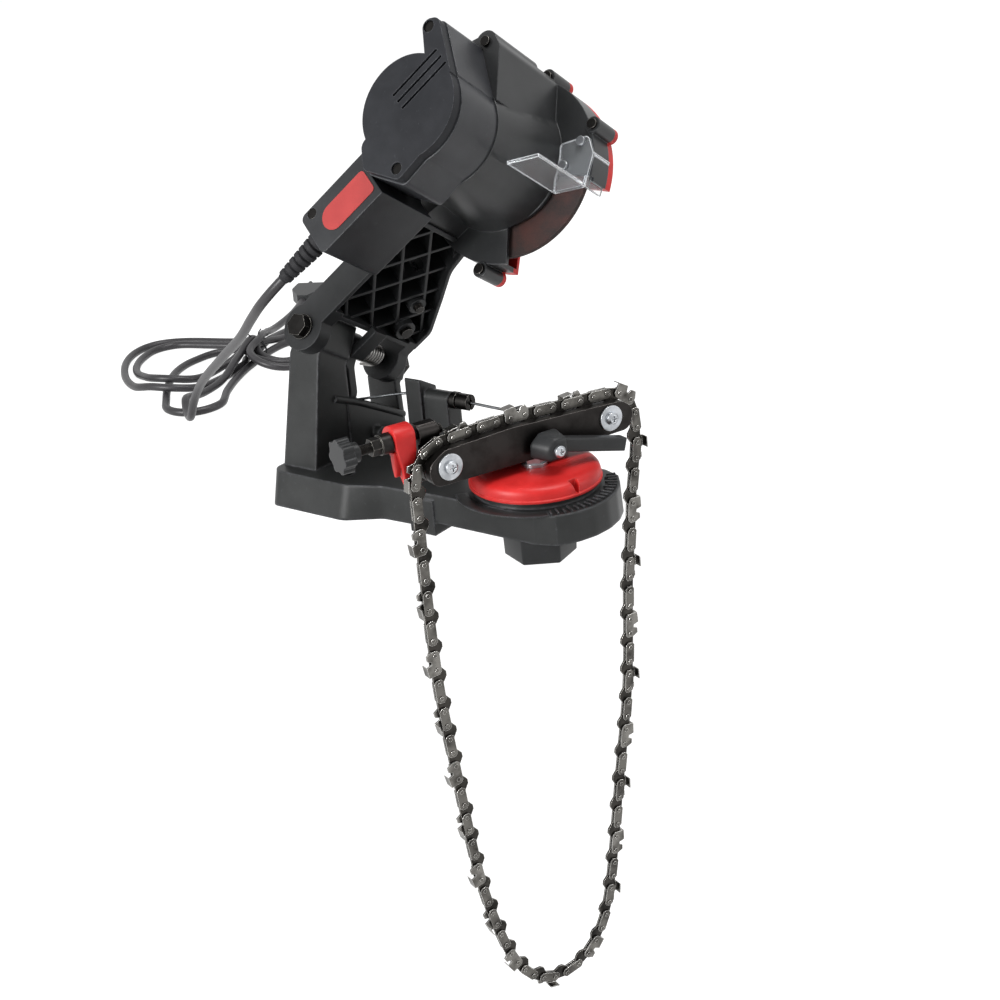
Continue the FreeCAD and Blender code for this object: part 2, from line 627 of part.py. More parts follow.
def makeArm():
    top = dim("armTop")
    foot = dim("armFoot")
    wall = dim("armWall")
    lug = dim("lugRadius")

    def trayOutline(inset):
        return [
            (-47 + inset, -19 - inset, 2), (-47 + inset, -104 + inset, 4), (8 - inset, -104 + inset, 4),
            (12 - inset, -82, 20), (27 - inset, -61, 20), (44 - inset, -36, 12),
            (44 - inset, -19 - inset, 2),
        ]
    tray = prism(trayOutline(0), Vector(0, 0, top - foot), None, Vector(0, 0, foot))
    hollow = prism(trayOutline(wall), Vector(0, 0, top - foot - 3), None, Vector(0, 0, foot - 0.01))
    # diamond ribs on the underside, set back from the rim
    ribs = []
    for i in range(-1, 6):
        offset = 24.5 + 26.5 * (i - 1)
        for sign in (1, -1):
            rib = Part.makeBox(200, 2, top - 1 - (foot + 4), Vector(-100, -1, foot + 4))
            rib.Placement = Placement(Vector(0, -offset - 21, 0), Rotation(zAxis, 45 * sign))
            ribs.append(rib)
    lattice = ribs[0].fuse(ribs[1:]).common(hollow)
    arm = tray.cut(hollow).fuse(lattice)
    lugs = []
    for start, end in ((-47, -36.3), (34, 43.4)):
        bar = [(0, top, 0), (-24, top, 0), (-24, foot, 0), (0, foot, 0)]
        lugs.append(endOn(bar, start, end).fuse(cylinderAlongX(start, end, lug)))
    arm = arm.fuse(lugs)
    # bosses of the spring's screw and of the depth stop
    arm = arm.fuse([Part.makeCylinder(7, top - foot, headPoint(22, 30, foot)),
                    Part.makeCylinder(6, top - foot - 2, headPoint(*depthStop, foot + 2))])
    cuts = [cylinderAlongX(-60, 60, dim("pivotBore") / 2), Part.makeCylinder(2.55, 60,
                                                                             headPoint(22, 30, -30)),
            Part.makeCylinder(3.05, 60, headPoint(*depthStop, -30))]
    # two slots through the upper skin, over the cable
    for a in (-16, -5):
        cuts.append(Part.makeBox(3.5, 8, 30, Vector(a, -76, 0)))
    cuts.append(cylinderAlongX(-8, 30, 60.2, motorCentre.y, motorCentre.z))
    arm = arm.cut(cuts)
    makeFeature("arm_casting", arm.removeSplitter(), headPlacement)


def capOutline(grow):
    """End view of the motor cap: a round with a screw ear above and a skirt below."""
    f0 = dim("wheelReach")
    h0 = dim("wheelLift")
    radius = dim("motorRadius") - 0.8 + grow
    body = Part.makeCylinder(radius, 1, Vector(-f0, h0, 0))
    ear = prism([(-(182 - grow), 20, 0), (-(192 + grow * 0.3), 38.4 + grow, 5), (-(201 + grow), 31, 5),
                 (-(188 + grow), -3, 0), (-170, 0, 0)], Vector(0, 0, 1))
    skirt = prism([(-160, -27 - grow, 0), (-(127.5 - grow), -29.5 - grow, 5), (-(113.5 - grow), -6, 5),
                   (-(121 - grow), 8, 6), (-140, 10, 0)], Vector(0, 0, 1))
    flat = prism([(-166, -26 - grow, 0), (-150, -27 - grow, 0), (-150, -5, 0), (-178, -5, 0)],
                 Vector(0, 0, 1))
    return body.fuse([ear, skirt, flat]).removeSplitter()


def capSolid(grow, start, end):
    """The cap's outline extruded along the motor axis."""
    slab = capOutline(grow)
    bottom = min(slab.Faces, key=lambda face: face.CenterOfMass.z)
    face = Part.Face(bottom.OuterWire)
    face.Placement = Placement(Vector(start, 0, 0), Rotation(yAxis, zAxis, xAxis, "XYZ"))
    return face.extrude(Vector(end - start, 0, 0))


def makeMotor():
    f0 = dim("wheelReach")
    h0 = dim("wheelLift")
    centreY = -f0
    capStart = dim("capStart")
    capEnd = dim("capEnd")
    start = dim("housingStart")
    cap = capSolid(0, capEnd, capStart - 0.05)
    cap = cap.cut(cylinderAlongX(capEnd + 3, capStart + 1, 27, centreY, h0))
    seat = cylinderAlongX(capEnd + 2, capStart, 13.5, centreY, h0)
    cap = cap.fuse(seat.cut(cylinderAlongX(capEnd + 3, capStart + 1, 11.02, centreY, h0)))
    for i in range(3):
        slot = Part.makeBox(4, 36, 1.6, Vector(capEnd - 1, -189, 14.7 - 5.6 * i))
        cap = cap.cut(slot)
    screwPlaces = ((193.1, 31.6), (130.5, -22.8))
    for f, h in screwPlaces:
        cap = cap.cut(cylinderAlongX(capEnd - 1, capEnd + 3, 3.6, -f, h))
        cap = cap.cut(cylinderAlongX(capEnd - 1, capStart + 1, 1.75, -f, h))
    makeFeature("motor_cap", cap, headPlacement)
    # the same screw also closes the switch box and ties the guard to the housing
    screws = []
    for seat, f, h in [(capEnd + 3, *place) for place in screwPlaces] + [
            (dim("boxNear") + 2.2, 69.4, 7.1), (start - 0.02, -cornerScrew[0], cornerScrew[1])]:
        head = cylinderAlongX(seat - 1.9, seat - 0.02, 3.1, -f, h)
        screws.append(head.fuse(cylinderAlongX(seat - 1, seat + 11, 1.7, -f, h)))
    makeFeature("housing_screws", Part.makeCompound(screws), headPlacement)

    housing = capSolid(0.8, capStart, start - 0.05)
    housing = housing.cut(cylinderAlongX(capStart - 1, start + 1, 29.5, centreY, h0))
    for f, h in screwPlaces:
        housing = housing.cut(cylinderAlongX(capStart - 1, capStart + 14, 1.75, -f, h))
    makeFeature("motor_housing", housing, headPlacement)

    stator = cylinderAlongX(-104, -73, 29.48, centreY, h0).cut(cylinderAlongX(-110, -60, 18.5, centreY, h0))
    makeFeature("motor_stator", stator, headPlacement)
    rotor = cylinderAlongX(-99, -76, 18, centreY, h0).fuse(cylinderAlongX(-80, -56, 11, centreY, h0))
    makeFeature("motor_rotor", rotor.cut(cylinderAlongX(-110, -50, 4.02, centreY, h0)), headPlacement)
    brushes = []
    for side in (-1, 1):
        brush = Part.makeBox(8, 18, 6, Vector(-67, centreY - 9 + side * 20.25, h0 - 3))
        brushes.append(brush)
    makeFeature("motor_brushes", Part.makeCompound(brushes), headPlacement)
    blades = cylinderAlongX(-50, -48, 24, centreY, h0).fuse(cylinderAlongX(-50, -40, 8, centreY, h0))
    for i in range(8):
        blade = Part.makeBox(8, 1.6, 17, Vector(-49.5, -0.8, 6))
        blade.Placement = Placement(Vector(0, centreY, h0), Rotation(xAxis, 45 * i))
        blades = blades.fuse(blade)
    makeFeature("motor_fan", blades.cut(cylinderAlongX(-60, -30, 4.02, centreY, h0)), headPlacement)
    shaft = cylinderAlongX(-109.8, 15, 4, centreY, h0)
    makeFeature("motor_shaft", shaft, headPlacement)
    bearings = []
    for near, far in ((-110.6, -105), (-28, -20)):
        ring = cylinderAlongX(near, far, 11, centreY, h0).cut(cylinderAlongX(near - 1, far + 1, 4.03,
                                                                             centreY, h0))
        bearings.append(ring)
    makeFeature("motor_bearings", Part.makeCompound(bearings), headPlacement)


def aboutMotor(angle, radius):
    """Point about the motor axis; angles turn from -Y towards +Z."""
    turn = math.radians(angle)
    return (motorCentre.y - radius * math.cos(turn), motorCentre.z + radius * math.sin(turn))


def sector(start, end, outer, fromAngle, toAngle):
    """Wedge about the motor axis, with a wide enough rim of chords."""
    corners = [(motorCentre.y, motorCentre.z, 0)]
    for i in range(7):
        angle = fromAngle + (toAngle - fromAngle) * i / 6
        corners.append((*aboutMotor(angle, outer), 0))
    return endOn(corners, start, end)


guardLugs = ((28.4, 61.3), (-19.2, 61.3), (-143.8, 63.7))
lugRadius = 5.0
cornerScrew = (-205.3, 30.3)


def makeGuard():
    back = dim("guardBack")
    wallFront = back + 2.5
    front = dim("guardFront")
    radius = dim("guardRadius")
    start = dim("housingStart")
    cy = motorCentre.y
    cz = motorCentre.z
    # funnel from the motor housing to the guard's wall, flush with it below
    lean = Vector(back - start, 2, 9)
    slope = (44 - dim("motorRadius") - 1.2) / lean.Length
    length = lean.Length
    lean.normalize()
    funnel = Part.makeCone(dim("motorRadius") + 1.2 - 15 * slope, 44 + 15 * slope, length + 30,
                           Vector(start, cy, cz) - lean * 15, lean)
    funnel = funnel.common(Part.makeBox(back - start, 160, 160, Vector(start, cy - 80, cz - 80)))
    # ridge over the screw that ties guard and motor housing together
    ridge = endOn([(-174, 15, 0), (-193, 41, 7), (-212.3, 33, 6), (-211, 22, 6), (-190, -5, 0)], start,
                  back)
    ridge = ridge.fuse(cylinderAlongX(start, back, 7, *cornerScrew))
    wall = cylinderAlongX(back, wallFront, radius, cy, cz)
    drum = cylinderAlongX(back, front - 0.05, radius, cy, cz).cut(
        cylinderAlongX(wallFront, front + 1, radius - 3, cy, cz))
    guard = funnel.fuse([ridge, wall, drum])
    for angle, reach in guardLugs:
        guard = guard.fuse(cylinderAlongX(back - 1, front - 0.05, lugRadius, *aboutMotor(angle, reach)))
    # the guard's open side, towards the chain
    opening = sector(back - 0.01, wallFront + 1, 90, -127, -50).fuse(sector(wallFront, front + 1, 90, -133,
                                                                            -52))
    guard = guard.cut(opening.cut(cylinderAlongX(back - 2, wallFront, 35, cy, cz)))
    for angle, reach in guardLugs:
        guard = guard.cut(cylinderAlongX(back - 3, front + 1, 1.75, *aboutMotor(angle, reach)))
        guard = guard.cut(cylinderAlongX(back - 19, back - 1, 4.6, *aboutMotor(angle, reach)))
    for at in shieldScrews:
        guard = guard.cut(cylinderAlongX(back - 3, wallFront + 1, 1.55, *at))
    # neck where the arm meets the guard
    neck = prism([(-45, -104.02, 0), (9, -104.02, 0), (4, -118, 8), (-40, -132, 8)], Vector(0, 0, 16), None,
                 Vector(0, 0, -6))
    guard = guard.fuse(neck)
    hollow = [
        cylinderAlongX(start - 1, -29, 29.5, cy, cz), cylinderAlongX(-30, -19.9, 11.05, cy, cz),
        cylinderAlongX(-21, wallFront + 1, 6, cy, cz), cylinderAlongX(wallFront, front + 1, radius - 3, cy,
                                                                      cz),
        cylinderAlongX(start - 1, start + 12, 1.75, *cornerScrew),
    ]
    guard = guard.cut(hollow)
    makeFeature("guard_housing", guard.removeSplitter(), headPlacement)

    end = dim("coverEnd")
    cover = cylinderAlongX(front, end, radius, cy, cz).cut(cylinderAlongX(front - 1, end - 2.5, radius - 3,
                                                                          cy, cz))
    for angle, reach in guardLugs:
        cover = cover.fuse(cylinderAlongX(front, end - 2, lugRadius, *aboutMotor(angle, reach)))
    cover = cover.cut(sector(front - 1, end + 1, 90, -133, -52))
    for angle, reach in guardLugs:
        cover = cover.cut(cylinderAlongX(front - 1, end - 3, 1.75, *aboutMotor(angle, reach)))
    makeFeature("guard_cover", cover, headPlacement)
    screws = []
    for angle, reach in guardLugs:
        at = aboutMotor(angle, reach)
        head = cylinderAlongX(back - 3, back - 1.02, 3.2, *at)
        screws.append(head.fuse(cylinderAlongX(back - 3, end - 3.2, 1.7, *at)))
    for at in shieldScrews:
        head = cylinderAlongX(back - 3.8, back - 2.02, 2.9, *at)
        screws.append(head.fuse(cylinderAlongX(back - 3, back + 2, 1.5, *at)))
    makeFeature("guard_screws", Part.makeCompound(screws), headPlacement)

    # clear shield: a flange on the guard's wall and a plate along the motor
    flange = [(35.4, -14.3, 3), (52.1, -24.3, 3), (48, -36, 3), (31.6, -48.6, 3), (14, -36.4, 0),
              (24, -24, 0)]
    plate = [(14, -36.4, 0), (31.6, -48.6, 0), (32.7, -46.9, 0), (15.1, -34.7, 0)]
    shield = endOn([(cy - f, cz + h, r) for f, h, r in flange], back - 2, back - 0.02)
    shield = shield.fuse(endOn([(cy - f, cz + h, r) for f, h, r in plate], -60, back - 1))
    rim = [(48.6, -35.4, 0), (31.6, -48.6, 0), (30.4, -47, 0), (47.4, -33.8, 0)]
    shield = shield.fuse(endOn([(cy - f, cz + h, r) for f, h, r in rim], back - 1, front))
    holes = []
    for at in shieldScrews:
        holes.append(cylinderAlongX(back - 5, back + 1, 1.6, *at))
    shield = shield.cut(holes + [guard])
    makeFeature("shield", shield.removeSplitter(), headPlacement)


shieldScrews = ((-202.4, -21.9), (-185, -25.6))


def makeWheel():
    half = dim("wheelThick") / 2
    cy = motorCentre.y
    cz = motorCentre.z
    wheel = makeBody("grinding_wheel", headPlacement.multiply(
        Placement(Vector(0, cy, cz), Rotation(zAxis, xAxis))))
    disc = pad(wheel, sketchOn(wheel, "XY_Plane", "wheelRim", circle(0, 0, dim("wheelRadius"))),
               "Dims.wheelThick",
               midplane=True)
    pocket(wheel, sketchOn(wheel, "XY_Plane", "wheelBore", circle(0, 0, dim("wheelBore") / 2)))
    flanges = []
    inner = cylinderAlongX(-half - 1.4, -half, 17, cy, cz)
    inner = inner.fuse(cylinderAlongX(-half - 0.5, half - 0.3, 11.45, cy, cz))
    outer = cylinderAlongX(half, half + 3, 17, cy, cz)
    for flange in (inner, outer):
        flanges.append(flange.cut(cylinderAlongX(-20, 20, 4.03, cy, cz)))
    makeFeature("wheel_flanges", Part.makeCompound(flanges), headPlacement)
    nut = hexagonAlongX(half + 3.05, half + 9, 13, cy, cz).cut(cylinderAlongX(0, 20, 4.02, cy, cz))
    makeFeature("wheel_nut", nut, headPlacement)


def makeSwitchBox():
    near = dim("boxNear")
    far = dim("boxFar")
    side = [(-61.5, 10.7, 4), (-61.5, -20, 4), (-112.8, -20, 0), (-112.8, -6, 0), (-120, 6, 0),
            (-120, 10.7, 0)]
    box = endOn(side, near, far).cut(capSolid(0.83, near - 10, far + 1))
    inner = Part.makeBox(far - near - 5, 40, 24, Vector(near + 2.5, -106, -16.5))
    opening = Part.makeBox(14.6, 21.4, 10, Vector(-87.3, -98.7, 5))
    screwHole = cylinderAlongX(near - 1, near + 2.2, 3.3, -69.4, 7.1).fuse(
        cylinderAlongX(near - 1, near + 14, 1.75, -69.4, 7.1))
    makeFeature("switch_box", box.cut([inner, opening, screwHole]), headPlacement)
    label = endOn([(-72, -14.8, 8.4), (-72, 2.2, 8.4), (-110.5, 2.2, 3), (-110.5, -14.8, 3)], near - 0.4,
                  near)
    makeFeature("label_plate", label, headPlacement)

    # rocker switch on the box's upper face
    bezel = Part.makeBox(18, 25, 1.6, Vector(-89, -100.5, 10.72))
    module = bezel.fuse(Part.makeBox(14.4, 21, 17, Vector(-87.2, -98.5, -6)))
    cavity = Part.makeBox(11.2, 18.6, 20, Vector(-85.6, -97.3, 2))
    pivotHole = cylinderAlongX(-86.6, -73.4, 1.35, -88, 7)
    makeFeature("switch_module", module.cut([cavity, pivotHole]), headPlacement)
    rocker = endOn([(-96.4, 7, 1), (-96.4, 13.6, 0), (-88, 12.2, 20), (-79.6, 13.6, 0), (-79.6, 7, 1),
                    (-88, 4.6, 4)],
                   -85.3, -74.7)
    rocker = rocker.fuse(cylinderAlongX(-86.5, -73.5, 1.3, -88, 7))
    rocker.rotate(Vector(-80, -88, 7), xAxis, -6)
    makeFeature("power_rocker", rocker, headPlacement)


# chain

def chainPath():
    """Closed curve through the rivets: over the rails, then hanging free."""
    places = [
        (-66, 67.7), (-45, 69.1), (-20, 69.9), (10, 69.0), (38, 67.9), (60, 66.7), (71.4, 61.3),
        (75.8, 51.3), (77.1, 37),
        (75.4, 18), (71.7, -4.9), (69.2, -32.5), (66.7, -52.9), (64.1, -91), (60.4, -142), (52.4, -193),
        (44.1, -246),
        (36.1, -292), (23.7, -324), (1, -341), (-24, -337), (-42.8, -316), (-55.8, -281), (-64.2, -245),
        (-70.8, -196),
        (-76.5, -141), (-81.4, -89), (-83.2, -28), (-83.4, 4), (-83.4, 33), (-82.6, 50), (-76.5, 62),
    ]
    curve = Part.BSplineCurve()
    curve.interpolate([Vector(x, 0, z) for x, z in places], PeriodicFlag=True)
    return curve.toShape()


def linkPlate(first, second, corners, start, thickness):
    """Plate over two rivets; corners run (along, outwards) from the first rivet."""
    along = (second - first).normalize()
    outwards = Vector(along.z, 0, -along.x).negative()
    points = [first + along * x + outwards * z + Vector(0, start, 0) for x, z in corners]
    return Part.Face(Part.makePolygon(points + [points[0]])).extrude(Vector(0, thickness, 0))


def makeChain():
    count = int(dim("linkCount"))
    rivets = chainPath().discretize(Number=2 * count + 1)[:-1]
    half = dim("driveThick") / 2
    strap = dim("strapThick")
    pitch = dim("linkPitch")
    drivePlate = [(-3.2, 1.4), (-1.6, 3.1), (pitch + 1.6, 3.1), (pitch + 3.2, 1.4), (pitch + 2.6, -2.6),
                  (6.4, -6.6),
                  (3.4, -6.6), (-2.6, -2.6)]
    strapPlate = [(-3.3, 1.3), (-1.5, 3.2), (pitch + 1.5, 3.2), (pitch + 3.3, 1.3), (pitch + 3.3, -1.6),
                  (pitch + 1.6, -3.3), (-1.6, -3.3), (-3.3, -1.6)]
    cutterPlate = [(-3.6, -1.6), (-3.9, 5.6), (3.4, 6.6), (4.6, 2.9), (6.4, 2.7), (7.6, 5.6),
                   (pitch + 1.4, 5.9),
                   (pitch + 3.4, 2.2), (pitch + 3.3, -1.6), (pitch + 1.6, -3.3), (-1.6, -3.3)]
    cutterTop = [(-3.9, 5.0), (3.2, 6.0), (3.4, 6.6), (-3.9, 5.6)]
    driveLinks = []
    straps = []
    cutters = []
    pins = []
    for k in range(count):
        first = rivets[2 * k]
        second = rivets[2 * k + 1]
        third = rivets[(2 * k + 2) % (2 * count)]
        driveLinks.append(linkPlate(first, second, drivePlate, -half, 2 * half))
        side = 0
        if k % 2 == 0:
            side = 1 if k % 4 == 0 else -1
            start = half + 0.02 if side > 0 else -half - 0.02 - strap
            plate = linkPlate(second, third, cutterPlate, start, strap)
            lip = linkPlate(second, third, cutterTop, start if side < 0 else -4.2, 4.22 + half + strap)
            cutters.append(plate.fuse(lip).removeSplitter())
        for other in (-1, 1):
            if other != side:
                start = half + 0.02 if other > 0 else -half - 0.02 - strap
                straps.append(linkPlate(second, third, strapPlate, start, strap))
        for rivet in (first, second):
            around = hexagonPoints(dim("rivetRadius"))
            pins.append(linkPlate(rivet, rivet + xAxis, around, -half - strap - 0.6,
                                  2 * (half + strap + 0.6)))
    makeFeature("chain_drive_links", Part.makeCompound(driveLinks), visePlacement)
    makeFeature("chain_tie_straps", Part.makeCompound(straps), visePlacement)
    makeFeature("chain_cutters", Part.makeCompound(cutters), visePlacement)
    makeFeature("chain_rivets", Part.makeCompound(pins), visePlacement)


# mains lead

def makeLead():
    # ribbed strain relief at the back of the switch box
    profile = [(0, 0)]
    for i in range(7):
        radius = 6.75 - 0.34 * i
        profile.extend([(radius, 4.7 * i), (radius - 0.15, 4.7 * i + 2.6), (4.8 - 0.2 * i, 4.7 * i + 3.6)])
    profile.extend([(3.4, 32.9), (0, 32.9)])
    makeFeature("strain_relief", turned(profile, Vector(-98, -61.45, -5.5), yAxis), headPlacement)
    start = headPlacement.multVec(Vector(-98, -61.45 + 32.95, -5.5))
    leave = headPlacement.Rotation.multVec(yAxis)
    run = [start + leave * 0.3, start + leave * 17, Vector(-59, 42, 126), Vector(-43.7, 69.3, 106.3),
           Vector(-24, 107, 85), Vector(0, 153, 58), Vector(17.5, 186.5, 38.5), Vector(34, 221, 10.8)]
    makeFeature("mains_cord", tube(run, dim("cordRadius")))

    # the rest of the lead is tied in a hank that lies on the bench
    def loop(x, y, longHalf, shortHalf, heading, wide):
        face = None
        for grow in (wide / 2, -wide / 2):
            shape = Part.Ellipse(Vector(x, y, 0), longHalf + grow, shortHalf + grow).toShape()
            shape.rotate(Vector(x, y, 0), zAxis, heading)
            flat = Part.Face(Part.Wire(shape))
            face = flat if face is None else face.cut(flat)
        ring = face.extrude(Vector(0, 0, 12.5))
        ring.translate(Vector(0, 0, 0.3))
        return ring

    bundleHeading = Rotation(zAxis, 24).multVec(xAxis)
    bundleMiddle = Vector(171, 280, 10.3)
    bundle = Part.makeCylinder(9.2, 70, bundleMiddle - bundleHeading * 35, bundleHeading)
    landing = Part.makeCylinder(dim("cordRadius"), 20, run[-1], Vector(15, 10, -5))
    lead = Part.makeCylinder(dim("cordRadius"), 120, Vector(203, 300, 6), Vector(116, 58, 0))
    hank = loop(120, 327, 74, 50, 55, 14).fuse([
        loop(104, 274, 74, 27, 41, 10), loop(232, 266, 52, 36, 20, 34), bundle, landing, lead])
    makeFeature("cord_hank", hank)
    along = Vector(116, 58, 0).normalize()
    plugPlace = Placement(Vector(203, 300, 6) + along * 120, Rotation(xAxis, along))
    plug = prism([(0, -5, 2), (8, -8, 8), (22, -16, 8), (44, -16, 2), (44, 16, 2), (22, 16, 8), (8, 8, 8),
                  (0, 5, 2)],
                 Vector(0, 0, 11), None, Vector(0, 0, -5.5))
    for y in (-9.5, 9.5):
        plug = plug.fuse(cylinderAlongX(40, 63, 2, y))
    makeFeature("mains_plug", plug.removeSplitter(), plugPlace)
    tieStart = bundleMiddle - bundleHeading * 2
    tie = Part.makeCylinder(10.2, 4, tieStart, bundleHeading)
    tie = tie.cut(Part.makeCylinder(9.21, 6, tieStart - bundleHeading, bundleHeading))
    makeFeature("cord_tie", tie)


makeBase()
makeCable()
makePivot()
makeTurntable()
makeVise()
makeClampLever()
makeChainStop()
makeSwivelLock()
makeArm()
makeStops()
makeMotor()
makeGuard()
makeWheel()
makeSwitchBox()
makeChain()
makeLead()
doc.recompute()

for item in doc.Objects:
    if "Invalid" in item.State or "Error" in item.State:
        raise RuntimeError(f"{item.Label} did not build: {item.State}")
for node in nodes:
    if node.Shape.isNull() or not node.Shape.isValid():
        raise RuntimeError(f"{node.Label} has no valid shape")

os.makedirs("parts", exist_ok=True)
for node in nodes:
    node.Shape.exportStep(f"parts/{node.Label}.step")
    print(node.Label, len(node.Shape.Solids), round(node.Shape.Volume / 1000, 2))
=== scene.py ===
# Electric saw chain sharpener on the edge of a bench: grinding head, vise for the chain, lead
import bpy
from math import radians, sin, cos, pi
from mathutils import Matrix, Vector


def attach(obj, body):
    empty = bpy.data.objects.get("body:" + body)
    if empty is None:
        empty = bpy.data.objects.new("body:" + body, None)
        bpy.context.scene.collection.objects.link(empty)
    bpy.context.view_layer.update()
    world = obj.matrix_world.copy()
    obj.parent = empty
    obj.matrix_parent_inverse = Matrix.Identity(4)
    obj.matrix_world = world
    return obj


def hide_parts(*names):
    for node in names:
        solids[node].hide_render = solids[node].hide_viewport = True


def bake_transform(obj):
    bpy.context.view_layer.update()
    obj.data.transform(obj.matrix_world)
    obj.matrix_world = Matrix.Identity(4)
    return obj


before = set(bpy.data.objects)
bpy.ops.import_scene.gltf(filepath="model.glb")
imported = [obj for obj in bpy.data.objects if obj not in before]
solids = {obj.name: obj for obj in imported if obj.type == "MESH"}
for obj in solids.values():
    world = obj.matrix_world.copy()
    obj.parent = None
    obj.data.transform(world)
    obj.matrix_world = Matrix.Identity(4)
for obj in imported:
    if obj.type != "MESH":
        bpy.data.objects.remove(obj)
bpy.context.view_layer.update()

print("stage: solids loaded,", len(solids))

# the frames of the pivot's yoke, the head and the vise at rest
pivotPoint = Vector((0.0113, 0.028, 0.0902))
yokeFrame = Matrix.Translation(pivotPoint) @ Matrix.Rotation(radians(30.5), 4, "Y")
headFrame = yokeFrame @ Matrix.Rotation(radians(-50), 4, "X")
noseY = -0.122  # middle of the round nose, which the vise turns on
viseFrame = Matrix.Translation((0, noseY, 0)) @ Matrix.Rotation(radians(-21.4), 4, "Z")


# millimetres in the head's own axes, to metres in the scene
def headPoint(across, forward, up):
    return headFrame @ (Vector((across, -forward, up)) * 0.001)


def linear(hexColour):
    parts = [int(hexColour[i:i + 2], 16) / 255 for i in (1, 3, 5)]
    return [p / 12.92 if p <= 0.04045 else ((p + 0.055) / 1.055) ** 2.4 for p in parts] + [1]


def grey(value):
    return (value, value, value, 1)


# one node: sockets by name or number, a link where the value is a socket, stops for a colour ramp
def addNode(tree, kind, inputs, stops=(), **settings):
    node = tree.nodes.new("ShaderNode" + kind)
    for name, value in settings.items():
        setattr(node, name, value)
    for key, value in inputs.items():
        if isinstance(value, bpy.types.NodeSocket):
            tree.links.new(value, node.inputs[key])
        else:
            node.inputs[key].default_value = value
    for number, (position, colour) in enumerate(stops):
        node.color_ramp.elements[number].position = position
        node.color_ramp.elements[number].color = colour
    return node


def newMaterial(name):
    material = bpy.data.materials.new(name)
    material.use_nodes = True
    tree = material.node_tree
    tree.nodes.clear()
    return material, tree, addNode(tree, "TexCoord", {}).outputs["Object"]


# rounded shading at the edges, and how near to an edge each point is
def softEdges(tree, radius):
    rounded = addNode(tree, "Bevel", {"Radius": radius}, samples=6).outputs["Normal"]
    flat = addNode(tree, "NewGeometry", {}).outputs["Normal"]
    turn = addNode(tree, "VectorMath", {0: rounded, 1: flat}, operation="DOT_PRODUCT")
    away = addNode(tree, "Math", {0: 1.0, 1: turn.outputs["Value"]}, operation="SUBTRACT")
    edge = addNode(tree, "ValToRGB", {"Fac": away.outputs[0]}, stops=((0.01, grey(0)), (0.22, grey(1))))
    return rounded, edge.outputs["Color"]


# one entry for each moulded plastic: colour, its paler rub, roughness, specular level; grain, its depth and
# the rounding of the edges in mm
plastics = {
    "glassFilledNylonCharcoal": dict(colour="#1f2020", rub="#55565a", gloss=0.36,
                                     grain=0.35, deep=0.03, shine=0.24, edge=2.6),
    "glassFilledNylonBlack": dict(colour="#1a1b1c", rub="#3a3b3e", gloss=0.42,
                                  grain=0.35, deep=0.03, shine=0.24, edge=1.0),
    "absMotorHousingGrey": dict(colour="#242528", rub="#5c5e62", gloss=0.33,
                                grain=0.28, deep=0.02, shine=0.34, edge=1.2),
    # the cap is the housing's ABS; its darker colour is painted shade, for the dark its face reflects
    "absMotorCapGrey": dict(colour="#1c1d20", rub="#5c5e62", gloss=0.42,
                            grain=0.28, deep=0.02, shine=0.14, edge=1.0),
    "absGuardGrey": dict(colour="#212223", rub="#505255", gloss=0.34,
                         grain=0.28, deep=0.02, shine=0.34, edge=1.0),
    "absSwitchBoxBlack": dict(colour="#1b1c1e", rub="#46484b", gloss=0.38,
                              grain=0.28, deep=0.02, shine=0.28, edge=1.2),
    "nylonSignalRed": dict(colour="#ad1f1e", rub="#dd5b54", gloss=0.4,
                           grain=0.3, deep=0.02, shine=0.26, edge=0.8),
    "phenolicKnobBlack": dict(colour="#161718", rub="#505154", gloss=0.36,
                              grain=0.5, deep=0.012, shine=0.24, edge=0.8),
    "rubberStrainRelief": dict(colour="#1a1a1c", rub="#3a3a3c", gloss=0.66,
                               grain=0.22, deep=0.02, shine=0.2, edge=0.4),
    "pvcMainsSheath": dict(colour="#262527", rub="#55535a", gloss=0.4,
                           grain=0.45, deep=0.02, shine=0.34, edge=0.4),
}


